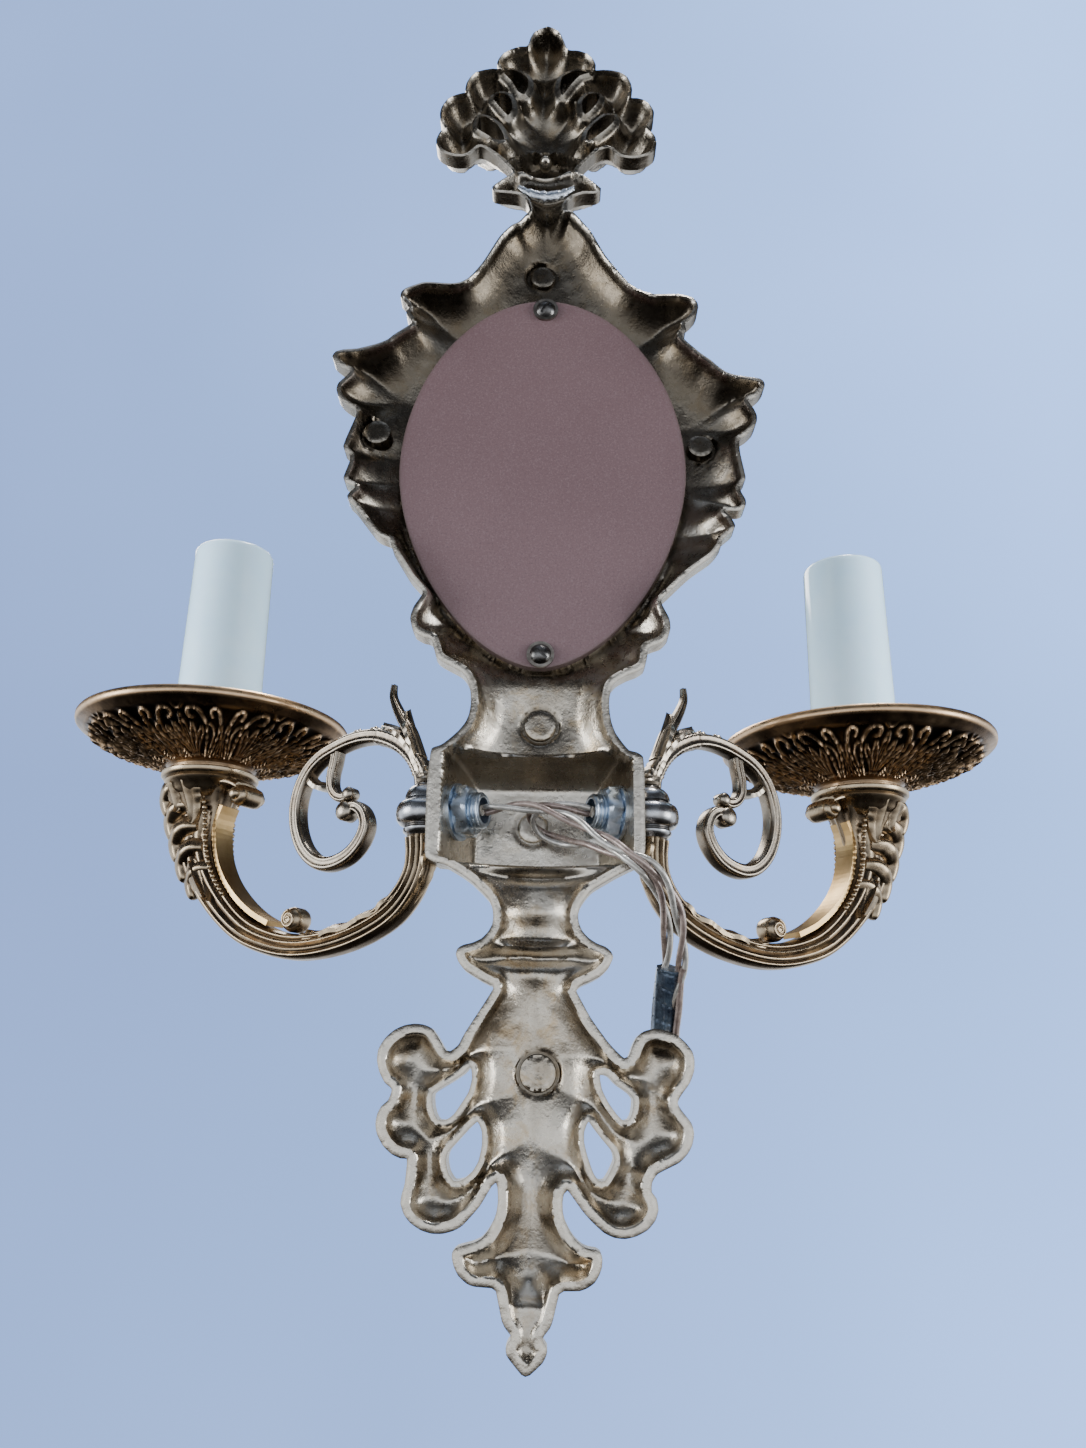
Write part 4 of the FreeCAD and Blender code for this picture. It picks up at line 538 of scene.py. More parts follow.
def board_material():
    m, nt, b = new_mat("hardboard")
    n = N(nt)
    col = n.ramp(n.noise(14.0, 3.0, 0.5), [(0.30, (0.112, 0.062, 0.063)), (0.70, (0.138, 0.080, 0.081))])
    # painted sheen: the board's colour lightens towards its lower end
    tc = nt.nodes.new("ShaderNodeTexCoord")
    sx = nt.nodes.new("ShaderNodeSeparateXYZ")
    nt.links.new(tc.outputs["Object"], sx.inputs[0])
    g = n.ramp(n.math("ADD", n.math("MULTIPLY", sx.outputs["Z"], -8.5), 1.30), [(0.0, 0.0), (1.0, 1.0)])
    col = n.mix(n.math("MULTIPLY", g, 0.22), col, (0.22, 0.145, 0.155))
    sp = n.ramp(n.noise(2300.0, 3.0, 0.7), [(0.50, 0.0), (0.66, 1.0)])
    col = n.mix(n.math("MULTIPLY", sp, 0.45), col, (0.21, 0.145, 0.150))
    dk = n.ramp(n.noise(1600.0, 4.0, 0.75), [(0.53, 0.0), (0.66, 1.0)])
    col = n.mix(n.math("MULTIPLY", dk, 0.42), col, (0.045, 0.022, 0.024))
    # painted shade: the board's edge and rim are darkened
    nt.links.new(n.mix(n.math("MULTIPLY", n.attr("edge"), 0.75), col, (0.10, 0.065, 0.055)), b.inputs["Base Color"])
    b.inputs["Roughness"].default_value = 0.50
    b.inputs["Specular IOR Level"].default_value = 0.45
    nt.links.new(n.bump(n.noise(1200.0, 4.0, 0.7), 0.00012, 0.7), b.inputs["Normal"])
    return m


M_BOARD = board_material()


def mirror_material():
    m, nt, b = new_mat("silvered_glass")
    n = N(nt)
    nt.links.new(n.ramp(n.noise(14.0, 3.0, 0.5), [(0.3, (0.86, 0.88, 0.88)), (0.7, (0.92, 0.93, 0.93))]), b.inputs["Base Color"])
    b.inputs["Metallic"].default_value = 1.0
    nt.links.new(n.ramp(n.noise(30.0, 4.0, 0.6), [(0.4, 0.02), (0.75, 0.06)]), b.inputs["Roughness"])
    return m


M_MIRROR = mirror_material()


def cad(name):
    for ob in bpy.data.objects:
        if ob.name == name:
            return ob
    raise SystemExit("no CAD object " + name)


def dress(name, mat, sharp=32):
    ob = cad(name)
    for s in ob.material_slots:
        s.material = mat
    if not ob.material_slots:
        ob.data.materials.append(mat)


# ---------------------------------------------------------------------------
# the oval: a little fuller above than below
# ---------------------------------------------------------------------------
EGG = (0.0, 104.3, 42.7, 60.4, 63.3, 1.94, 1.75)


def egg_q(x, z, ia=0.0, ib=0.0):
    cx, cz, a_, bu, bl, pu, pl = EGG
    u_, v_ = np.abs(x - cx), np.abs(z - cz)
    up_ = (u_ / (a_ - ia)) ** pu + (v_ / (bu - ib)) ** pu
    lo_ = (u_ / (a_ - ia)) ** pl + (v_ / (bl - ib)) ** pl
    return np.where(z > cz, up_ ** (1 / pu), lo_ ** (1 / pl))


def egg_loop(ia, ib, m):
    th_ = np.linspace(0, 2 * math.pi, m, endpoint=False)
    q_ = egg_q(EGG[0] + np.cos(th_) * 50, EGG[1] + np.sin(th_) * 50, ia, ib)
    return np.column_stack([EGG[0] + np.cos(th_) * 50 / q_, EGG[1] + np.sin(th_) * 50 / q_])


# ---------------------------------------------------------------------------
# the casting
# ---------------------------------------------------------------------------
def casting():
    outline = np.array(OUT_RIGHT + OUT_LEFT[-2:0:-1])
    ol = closed_smooth(outline, 0.85)
    holes = [closed_smooth(h, 0.8) for h in PIERCED]
    th = np.linspace(0, 2 * math.pi, 260, endpoint=False)
    win = egg_loop(6.3, 9.3, 260)
    # points: boundaries, lines of points beside them, and a triangular grid
    g = 0.88
    x0, x1, z0, z1 = ol[:, 0].min(), ol[:, 0].max(), ol[:, 1].min(), ol[:, 1].max()
    rows = []
    for r, z in enumerate(np.arange(z0, z1, g * 0.866)):
        xs = np.arange(x0 + (g / 2 if r % 2 else 0), x1, g)
        rows.append(np.column_stack([xs, np.full(len(xs), z)]))
    grid = np.vstack(rows)
    extra = []
    for lp, sgn in [(ol, 1)] + [(h, -1) for h in holes]:
        a = 0.5 * np.sum(lp[:, 0] * np.roll(lp[:, 1], -1) - np.roll(lp[:, 0], -1) * lp[:, 1])
        t = np.roll(lp, -1, 0) - np.roll(lp, 1, 0)
        nn = np.column_stack([-t[:, 1], t[:, 0]]) / np.linalg.norm(t, axis=1)[:, None] * (1 if a > 0 else -1) * sgn
        for d in (0.7, 1.35, 1.7, 2.05, 2.5, 2.95):
            extra.append((lp + nn * d, d))
    for ia, ib in ((3.8, 6.8), (3.45, 6.45), (0.5, 0.5), (-0.2, -0.2), (-0.9, -0.9), (5.4, 8.4)):
        extra.append((egg_loop(ia, ib, 300), None))
    for px, pz, pr in PADS:
        for q in (pr - 0.35, pr - 0.05, pr + 0.25, pr + 0.7):
            tt = np.linspace(0, 2 * math.pi, 44, endpoint=False)
            extra.append((np.column_stack([px + q * np.cos(tt), pz + q * np.sin(tt)]), None))
    bound = [ol] + holes
    ex = []
    for e, d in extra:
        e = e[inside(e, ol)]
        dd = seg_distance(e, bound)
        for h in holes:
            k = inside(e, h)
            dd[k] = -1
        ex.append(e[dd > ((d - 0.03) if d else 0.3)])
    ex = np.vstack(ex)
    grid = grid[inside(grid, ol)]
    for h in holes:
        grid = grid[~inside(grid, h)]
    grid = grid[egg_q(grid[:, 0], grid[:, 1], 5.9, 8.9) > 1]
    grid = grid[seg_distance(grid, bound) > 0.5]
    ex = ex[egg_q(ex[:, 0], ex[:, 1], 6.0, 9.0) > 1]
    # drop grid points close to the extra ones
    cell = {}
    for p in ex:
        cell.setdefault((int(p[0] / 0.6), int(p[1] / 0.6)), []).append(p)
    keep = []
    for p in grid:
        cx, cz = int(p[0] / 0.6), int(p[1] / 0.6)
        ok = True
        for i in (-1, 0, 1):
            for j in (-1, 0, 1):
                for q in cell.get((cx + i, cz + j), ()):
                    if (p[0] - q[0]) ** 2 + (p[1] - q[1]) ** 2 < 0.16:
                        ok = False
        if ok:
            keep.append(p)
    # thin the extra points among themselves
    seen, exk = {}, []
    for p in ex:
        key = (int(round(p[0] / 0.28)), int(round(p[1] / 0.28)))
        if key not in seen:
            seen[key] = 1
            exk.append(p)
    loops = bound + [win]
    pts = np.vstack(loops + [np.array(exk), np.array(keep)])
    edges, o = [], 0
    for lp in loops:
        n = len(lp)
        edges += [(o + i, o + (i + 1) % n) for i in range(n)]
        o += n
    res = delaunay_2d_cdt([Vector((p[0], p[1])) for p in pts], edges, [], 0, 1e-5)
    P = np.array([tuple(v) for v in res[0]])
    T = np.array([t for t in res[2] if len(t) == 3])
    cen = P[T].mean(1)
    ok = inside(cen, ol)
    for h in holes:
        ok &= ~inside(cen, h)
    ok &= ~inside(cen, win)
    T = T[ok]
    used = np.unique(T)
    remap = -np.ones(len(P), int)
    remap[used] = np.arange(len(used))
    P, T = P[used], remap[T]
    # ---- fields ----
    x, z = P[:, 0], P[:, 1]
    d_out = seg_distance(P, [ol])
    d_hole = seg_distance(P, holes)
    ex_, ez_ = x - EGG[0], z - EGG[1]
    rq = egg_q(x, z)
    d_oval = np.hypot(ex_, ez_) * (1 - 1 / np.maximum(rq, 1e-3))
    lobe = sstep((-48 - z) / 8.0)
    crown = sstep((z - 222) / 5.0)
    fr = sstep((z - 30) / 14.0) * sstep((196 - z) / 10.0)
    top_ = sstep((z - 95) / 40.0)
    low_ = sstep((62 - z) / 16.0)
    rw_o = 1.25 + 0.75 * low_ + 0.25 * lobe
    rw_o = rw_o - 0.35 * sstep((z - 150) / 20.0)
    rw_h = 1.35
    wob = vnoise(P, 6.0, 3) * (0.18 + 0.30 * lobe)
    s_o = np.maximum(d_out - rw_o - wob, 0)
    s_h = np.maximum(d_hole - rw_h - wob, 0)
    # crown: rounded ridges round the openings rather than flat rims
    s_h = np.where(crown > 0.5, np.maximum(d_hole - 0.5, 0), s_h)
    d = np.minimum(d_out, d_hole)
    s = np.minimum(s_o, s_h)
    H = 12.0 + (10.5 - 12.0) * sstep((z - 196) / 8.0)
    H = H + (9.6 - H) * sstep((48 - z) / 12.0)
    H = H + (8.4 - H) * sstep((-38 - z) / 10.0)
    H = H - 1.9 * lobe * sstep((np.abs(x) - 9.0) / 6.0)
    H = H + (1.1 - H) * sstep((-113 - z) / 6.0)
    k = 5.6 - 0.6 * sstep((-40 - z) / 10.0) - 2.2 * sstep((z - 200) / 6.0)
    w1 = 1.9 - 0.5 * crown
    w1 = np.minimum(w1, H)
    # round the valley where two walls meet, so the hollows look pillowed
    sm = np.sqrt(s * s + 0.5) - 0.7071
    dep = w1 * sstep(s / 1.1) + (H - w1) * (1 - np.exp(-sm / k))
    dep = dep * (1 + 0.10 * np.exp(-((s - 3.0) / 2.0) ** 2) * lobe)
    hr = np.exp(-((d_hole - 1.3) / 1.3) ** 2) * crown
    dep = dep * (1 - hr) + hr * (2.1 + 1.4 * np.exp(-(d_hole / 0.45) ** 2))
    # transverse mouldings at the neck below the box and above the pendant
    zc = -36.3 + 0.006 * x * x
    dep = dep * (1 - 0.50 * np.exp(-((z - zc) / 1.5) ** 2) * sstep((22 - np.abs(x)) / 6.0))
    up_ = sstep((z + 31.5 - 0.004 * x * x) / 5.0) * sstep((-17 - z) / 4.0)
    dep = dep * (1 - 0.22 * up_)
    dep = dep * (1 - 0.30 * np.exp(-((z + 42.5) / 3.2) ** 2) * sstep((s - 1) / 3))
    # waist: fullest under the oval
    dep = dep + 1.2 * np.exp(-((z - 27.0) / 9.0) ** 2) * sstep((s - 2) / 5)
    ph = np.degrees(np.arctan2(ez_, ex_))
    crease = np.zeros(len(P))
    for a0, a1, w in ((65, 72, 3.4), (33, 24, 4.6), (16, 8, 3.2), (0, -4, 3.2), (-22, -26, 3.0), (-48, -52, 3.4),
                      (113, 108, 3.4), (146, 156, 4.6), (163, 172, 3.2), (180, 184, 3.2), (202, 206, 3.0), (228, 232, 3.4), (90, 90, 4.0)):
        t = sstep(d_oval / 26.0)
        aa = a0 + (a1 - a0) * (1 - t)
        dd = (ph - aa + 180) % 360 - 180
        crease = np.maximum(crease, np.exp(-(dd / w) ** 2))
    # wiring box: straight sides, top and bottom that run out into the hollows
    inx = 25.6 - np.abs(x)
    hs = np.maximum(inx, 0) / BOX_DRAFT
    D = 21.5
    tt_ = np.clip((17.2 - z) / 8.2, 0, 1)
    ht = D * (1 - (1 - tt_) ** 2.2)
    tb_ = np.clip((z + 14.8) / 2.2, 0, 1)
    hbm = 3.0 + (D - 3.0) * (1 - (1 - tb_) ** 2.0)
    hbm = np.where(z < -14.6, 0, hbm)
    hb = np.minimum(ht, hbm)
    sk = 1.6
    hb = -sk * np.log(np.exp(-hb / sk) + np.exp(-np.minimum(hs, 60) / sk) + 1e-30)
    hb = np.where(inx > 0, np.maximum(hb, 0), 0)
    sides = (np.abs(z - 0.3) < 15.0) & (np.abs(x) > 24.0)
    wall = sstep((17.4 - np.abs(z - 0.3)) / 2.5)
    lip = np.exp(-((z + 15.6 + 0.004 * x * x * 0) / 1.6) ** 2) * sstep((24 - np.abs(x)) / 4)
    dep = dep * (1 - 0.42 * lip)
    dep = np.where(wall > 0.02, dep * (1 - wall) + wall * np.minimum(dep, np.maximum(hs, 0.0)), dep)
    inbox = (inx > 0) & (z < 17.2) & (z > -14.6)
    dep = np.where(inbox, np.maximum(hb, dep * (1 - wall * 0.4)), dep)
    dep = np.where(sides & (inx <= 0), 0.15, dep)
    # eye in the crown: a dark hollow over a full lip
    eq = np.sqrt(((x - 0.9) / 10.2) ** 2 + ((z - 218.6) / (5.6 - 0.020 * (x - 0.9) ** 2)) ** 2)
    tube_ = np.exp(-((z - 210.6 - 0.030 * (x - 0.6) ** 2) / 2.6) ** 2) * sstep((11 - np.abs(x - 0.6)) / 4)
    dep = dep * (1 - 0.70 * tube_)
    lid = np.exp(-((eq - 1.16) / 0.13) ** 2) * sstep((z - 216) / 3.0)
    dep = dep * (1 - 0.45 * lid)
    dep = np.where(eq < 1, np.maximum(dep, 10.5 * sstep((1 - eq) / 0.30)), dep)
    ring = lid
    lipb = tube_
    a1_ = np.arctan2(x - 0.9, z - 205.0)
    a2_ = np.arctan2(x + 0.5, -(z + 40.0))
    pend = sstep((-52 - z) / 8.0)
    # seat of the board, recess of the glass
    need = 9.4 * sstep((8.0 - d_oval) / 7.0) * sstep((s - 0.2) / 2.6)
    dep = np.where(d_oval > 0, np.maximum(dep, need), dep)
    dep = np.where(d_oval <= 0.05, 8.3, dep)
    gq = egg_q(x, z, 3.95, 6.95)
    dep = np.where(gq < 1.0, 12.05, dep)
    # cast surface
    rough = vnoise(P, 9.0, 1) * 0.30 + vnoise(P, 3.4, 2) * 0.08 + vnoise(P, 1.5, 5) * 0.03
    scal = np.abs(vnoise(P, 2.3, 12)) * 0.30 * np.exp(-((z + 55) / 9.0) ** 2) * sstep((14 - np.abs(x)) / 4)
    quiet = sstep((s - 0.4) / 2.0) * (d_oval > 1.0)
    dep = dep + (rough - scal) * quiet
    flat = (s <= 0.0) & (d_oval > 1) & (crown < 0.5)
    dep = np.where(flat, 0.06 + np.abs(vnoise(P, 1.9, 8)) * (0.10 + 0.16 * lobe) + 0.25 * sstep((0.5 - d_out) / 0.5), dep)
    # crown rims are rounded over
    dep = np.where((crown >= 0.5) & (s_o <= 0) & (d_out < d_hole), 0.08 + 0.7 * (1 - np.clip(d_out / 0.7, 0, 1)) ** 2, dep)
    dep = np.maximum(dep, 0.02)
    padz = np.zeros(len(P))
    pad_shade_ring = np.zeros(len(P))
    for px, pz, pr in PADS:
        rr = np.hypot(x - px, z - pz)
        base = np.median(dep[rr < pr]) if (rr < pr).any() else 9
        top = base - (2.6 if abs(pz - 115) < 5 else 1.1)
        inn = rr < pr - 0.15
        tilt = 0.05 * (z - pz) if abs(pz - 115) < 5 else 0.0
        dep = np.where(inn, top + tilt + 0.12 * vnoise(P, 2.2, 9) + 0.35 * sstep((rr - pr + 0.9) / 0.8), dep)
        dep = np.where((rr >= pr - 0.15) & (rr < pr + 0.8), np.maximum(dep, base + 0.35), dep)
        padz = np.where(inn, 1.0, padz)
        pad_shade_ring = np.maximum(pad_shade_ring, np.exp(-((rr - pr - 0.25) / 0.55) ** 2))
        if pz < -50:
            dep = np.where((rr < pr - 1.0) & (rr > pr - 1.5), top + 0.3, dep)
            dep = np.where(rr < 0.6, top + 0.35, dep)
    # ---- front ----
    f = 5.4 + 4.6 * sstep(d_out / 3.6) + 1.2 * np.exp(-((d_out - 4.0) / 1.2) ** 2) - 0.9 * np.exp(-((d_out - 6.3) / 0.9) ** 2)
    f = f + fr * (3.0 * sstep((d_out - 3) / 9.0) + 1.1 * crease * sstep((d_out - 2) / 5))
    f = f + (crown * 1.3 * np.cos(a1_ * 13.0) + pend * 1.2 * np.cos(a2_ * 11.0)) * sstep((d - 1.5) / 3.0)
    veins = np.cos(a1_ * 46.0) * crown + np.cos(a2_ * 40.0) * pend + np.cos(np.radians(ph) * 72) * fr
    f = f + 0.35 * veins * sstep((d - 3) / 3.0) * (d_oval > 2)
    f = f - 1.4 * sstep((1.6 - d_hole) / 1.6) * (1 - crown)
    f = np.where(crown > 0, np.maximum(f, f + (16.0 - f) * crown * sstep((3.2 - d_hole) / 2.4)), f)
    fb = np.minimum(np.minimum((28.8 - np.abs(x)) / BOX_DRAFT, (18.2 - z) / 0.24), (z + 17.4) / 0.24)
    fb = np.clip(fb, 0, 27.0)
    boxr = sstep((27.0 - fb) / 3.0)
    f = np.where(fb > 0, np.maximum(np.where(np.abs(z - 0.3) < 13, 5.4, f * 1.0), fb - 0.15 * boxr), f)
    f = np.where((fb > 25), 26.6 + 0.5 * np.cos(np.hypot(x, z) * 1.1) * np.exp(-np.hypot(x, z) / 14.0), f)
    bz = np.abs(d_oval + 2.9)
    bz = np.abs(d_oval + 2.9)
    f = np.where(d_oval < 3.0, np.maximum(f * sstep((d_oval) / 3.0), 14.2 + 3.4 * np.exp(-(bz / 1.9) ** 2) + 0.9 * np.exp(-((d_oval - 1.0) / 0.8) ** 2)), f)
    f = np.where(d_oval < -4.4, 14.6, f)
    f = np.maximum(f, np.where(d_out < 2.5, 5.4, dep + 1.9))
    f = np.maximum(f, np.minimum(dep + 1.6, 27.0) * (d_out > 1.2))
    n = len(P)
    back = np.column_stack([x, -dep, z])
    front = np.column_stack([x, -f, z])
    verts = np.vstack([back, front])
    faces = [tuple(t) for t in T] + [tuple(q + n for q in t[::-1]) for t in T]
    # walls along the free edges
    cnt = {}
    for t in T:
        for i in range(3):
            e = (t[i], t[(i + 1) % 3])
            kk = (min(e), max(e))
            cnt[kk] = None if kk in cnt else e
    free = [e for e in cnt.values() if e is not None]
    vs = sorted(set(i for e in free for i in e))
    mid1 = {v: 2 * n + i for i, v in enumerate(vs)}
    mid2 = {v: 2 * n + len(vs) + i for i, v in enumerate(vs)}
    m1 = np.array([[x[v], -dep[v] - 0.35, z[v]] for v in vs])
    m2 = np.array([[x[v], -f[v] + 0.35, z[v]] for v in vs])
    verts = np.vstack([verts, m1, m2])
    for a, b in free:
        faces.append((b, a, mid1[a], mid1[b]))
        faces.append((mid1[b], mid1[a], mid2[a], mid2[b]))
        faces.append((mid2[b], mid2[a], a + n, b + n))
    # which way the back surface faces: shade is painted under the down-facing upper walls
    tri = np.column_stack([x, -dep, z])[T]
    fn = np.cross(tri[:, 1] - tri[:, 0], tri[:, 2] - tri[:, 0])
    vn = np.zeros((len(P), 3))
    for c_ in range(3):
        np.add.at(vn, T[:, c_], fn)
    vn /= np.maximum(np.linalg.norm(vn, axis=1), 1e-9)[:, None]
    vn *= np.sign(vn[:, 1:2] + 1e-9)
    under = sstep((0.10 - vn[:, 2]) / 0.40)
    rim = sstep((0.25 - s) / 0.35) * (d_oval > 1)
    rim = np.where(sides & (np.abs(x) > 25.2), 1.0, rim)
    rim = rim * (1 - 0.62 * sstep((z - 205) / 8.0)) * (1 - 0.25 * top_)
    rim = np.where((crown > 0.5) & (d_hole < d_out), 0.0, rim)
    rim = np.maximum(rim, 0.45 * lipb * (eq > 1.0))
    # deep hollows in the upper part get patina plus painted shade; steep walls are painted darker as shade, more
    # towards the top
    deep = 0.50 * sstep((dep - 5.0) / 5.0) * sstep((z - 60) / 40.0)
    steep = np.exp(-((s - 0.9) / 0.9) ** 2)
    deep = np.maximum(deep, steep * (0.20 + 0.35 * top_))
    # painted shade: a dark ring where the board sits in its seat
    deep = np.maximum(deep, np.exp(-((d_oval - 0.5) / 1.4) ** 2) * 0.75)
    # painted shadow: a dark band under the top wall of the wiring box
    deep = np.maximum(deep, 0.60 * np.exp(-((z - 13.8) / 2.8) ** 2) * inbox)
    # painted shade: the eye's pocket is painted fully dark
    deep = np.where((eq < 0.95), 1.0, deep)
    # painted shade: a dark ring round each pad
    deep = np.maximum(deep, 0.85 * pad_shade_ring)
    # painted shade: the upper part darkens, most on down-facing walls, less on worn rims
    deep = np.maximum(deep, (0.35 + 0.63 * under) * sstep((z - 62) / 50.0) * (1 - 0.22 * sstep((z - 200) / 10.0)) * (1 - 0.7 * rim) * (d_oval > 0.5))
    # painted sheen: the floor of the wiring box is given the bright worn colour
    rim = np.maximum(rim, 0.75 * inbox * sstep((dep - 8.0) / 6.0))
    deep = np.maximum(deep, 0.55 * hr)
    deep = deep * (1 - padz * (0.9 - 0.9 * sstep((z - 60) / 20.0)))
    deep = np.maximum(deep, 0.5 * padz * sstep((z - 60) / 20.0))
    # painted shade: the side walls along the outline and openings, and their back edges, are darkened, more towards
    # the top
    zv = z[np.array(vs)]
    brim = np.array(vs)
    rim[brim] = 0.10
    deep[brim] = 0.75
    att = lambda b_, f_, w_: np.concatenate([b_, f_, w_, w_])
    # darker towards the top of the casting
    up = 0.95 * sstep((z - 50) / 60.0) * (1 - 0.55 * rim)
    ob = mesh_object("casting_back_plate", verts, faces, M_BACK, True, 48,
                     {"rim": att(rim, np.full(n, 0.15) + 0.5 * sstep((f - 12) / 4), np.full(len(vs), 0.05)), "deep": att(np.maximum(deep, 0.72 * up), np.full(n, 0.0), 0.45 + 0.40 * sstep((zv - 60) / 60.0))})
    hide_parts("back_plate")
    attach(ob, "fixture")
    # beads round the front of the oval, stud and ball in the crown
    bd = Build()
    for p in egg_loop(-1.1, 0.3, 104):
        v, fc = ball((p[0], -14.4, p[1]), 1.25, 10)
        bd.add(v, fc, rim=0.6)
    v, fc = ball((0.6, -5.4, 219.2), 2.1, 16, (1, 1.5, 1))
    bd.add(v, fc, rim=0.3, deep=0.2)
    o2 = bd.obj("casting_beads", M_BACK)
    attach(o2, "fixture")
    # bright silver strip across the neck under the eye: a painted highlight that stands in for the glint on the neck's
    # curved step
    L = catmull([(-9.0, -2.6, 207.0), (-5.0, -3.0, 204.6), (0.2, -3.2, 203.6), (5.4, -3.0, 204.6), (9.6, -2.6, 207.0)], 14)
    rings = []
    for i, c0 in enumerate(L):
        e = i / (len(L) - 1)
        hh = 2.1 * math.sin(math.pi * (0.06 + 0.88 * e)) ** 0.6 + 0.12 * math.sin(e * 37) + 0.1 * math.sin(e * 61)
        rings.append(np.array([c0 + np.array([0.15 * math.cos(a * 3), 1.35 * hh / 2.0 * math.sin(a), hh * math.cos(a)]) for a in np.linspace(0, 2 * math.pi, 24, endpoint=False)]))
    bd = Build()
    v, fc = loft(rings)
    bd.add(v, fc)
    o3 = bd.obj("neck_metal_run", M_GLINT_SILVER)
    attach(o3, "fixture")


casting()


# ---------------------------------------------------------------------------
# board, glass and screws
# ---------------------------------------------------------------------------
def board():
    y0, y1 = -8.0, -5.0
    m = 260
    prof = [(-6.0, y0), (-0.3, y0), (0.0, y0 + 0.3), (0.0, y1 - 0.35), (-0.12, y1 - 0.1), (-0.4, y1), (-1.2, y1), (-6.0, y1)]
    rings = []
    for off, y in prof:
        e = egg_loop(-off, -off, m)
        rings.append(np.column_stack([e[:, 0], np.full(m, y), e[:, 1]]))
    v, f = loft(rings)
    # edge attribute: marks the board's rim and edge, which are painted dark as shade
    edge = []
    for off, y in prof:
        edge += [1.0 if (off > -0.5 and y < y1 - 0.05) else (0.35 if off > -0.5 else 0.0)] * m
    edge += [0, 0]
    bb = Build()
    bb.add(v, f, edge=edge)
    ob = bb.obj("hardboard_back", M_BOARD, 40)
    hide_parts("mirror_backing_board")
    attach(ob, "fixture")


def glass():
    m = 240
    rings = []
    for off, y in ((-1.5, -12.0), (-0.9, -12.0), (0.0, -11.3), (0.0, -8.45), (-0.15, -8.2), (-1.5, -8.2)):
        e = egg_loop(4.1 - off, 7.1 - off, m)
        rings.append(np.column_stack([e[:, 0], np.full(m, y), e[:, 1]]))
    v, f = loft(rings)
    bb = Build()
    bb.add(v, f)
    ob = bb.obj("bevelled_glass", M_MIRROR, 20)
    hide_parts("mirror_glass")
    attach(ob, "fixture")


board()
glass()
dress("board_screws", M_SCREW)
dress("board_screw_washers", M_WASHER)


# ---------------------------------------------------------------------------
# arms
# ---------------------------------------------------------------------------
def arm_frame(side):
    sx = 1 if side == "right" else -1
    cup = CUPS[side]
    K = np.array([sx * KNOB_X, -KNOB_Y, 0.0])
    E = np.array([cup[0], cup[1], 0.0])
    d = unit(E - K)
    n = np.array([-d[1], d[0], 0.0]) if sx > 0 else np.array([d[1], -d[0], 0.0])
    fr_ = np.linalg.norm(E - K) / ARM_REACH

    def at(s, z, t=0.0):
        return K + d * (s * fr_) + n * t + np.array([0, 0, z + ZC + cup[2] * min(1.0, max(0.0, s / ARM_REACH)) ** 2])
    return sx, cup, K, E, d, n, at


def leaf(bd, P, Nn, side_dir, width, lift, teeth=5, thick=0.9, rimv=0.35):
    """Cast leaf: points P along its vein, normals Nn, in a strip curved across."""
    P = np.asarray(P, float)
    m = len(P)
    rows = []
    nx = 13
    for i in range(m):
        t = i / (m - 1)
        w = width(t) * (1 + 0.20 * abs(math.sin(math.pi * teeth * t)) ** 0.7 * (t < 0.97))
        up, sd = unit(Nn[i]), unit(side_dir[i])
        row = []
        for j in range(nx):
            u = -1 + 2 * j / (nx - 1)
            camber = (1 - u * u) * thick + 0.55 * math.exp(-(u / 0.13) ** 2) + 0.28 * math.cos(u * 9.0) * (1 - abs(u)) - 0.5 * u * u * thick
            row.append(P[i] + sd * u * w / 2 + up * (lift(t) + camber))
        for j in range(nx - 1, -1, -1):
            u = -1 + 2 * j / (nx - 1)
            row.append(P[i] + sd * u * w / 2 * 0.94 + up * (lift(t) - 1.3 - 0.4 * thick))
        rows.append(np.array(row))
    v, f = loft(rows)
    bd.add(v, f, rim=rimv)


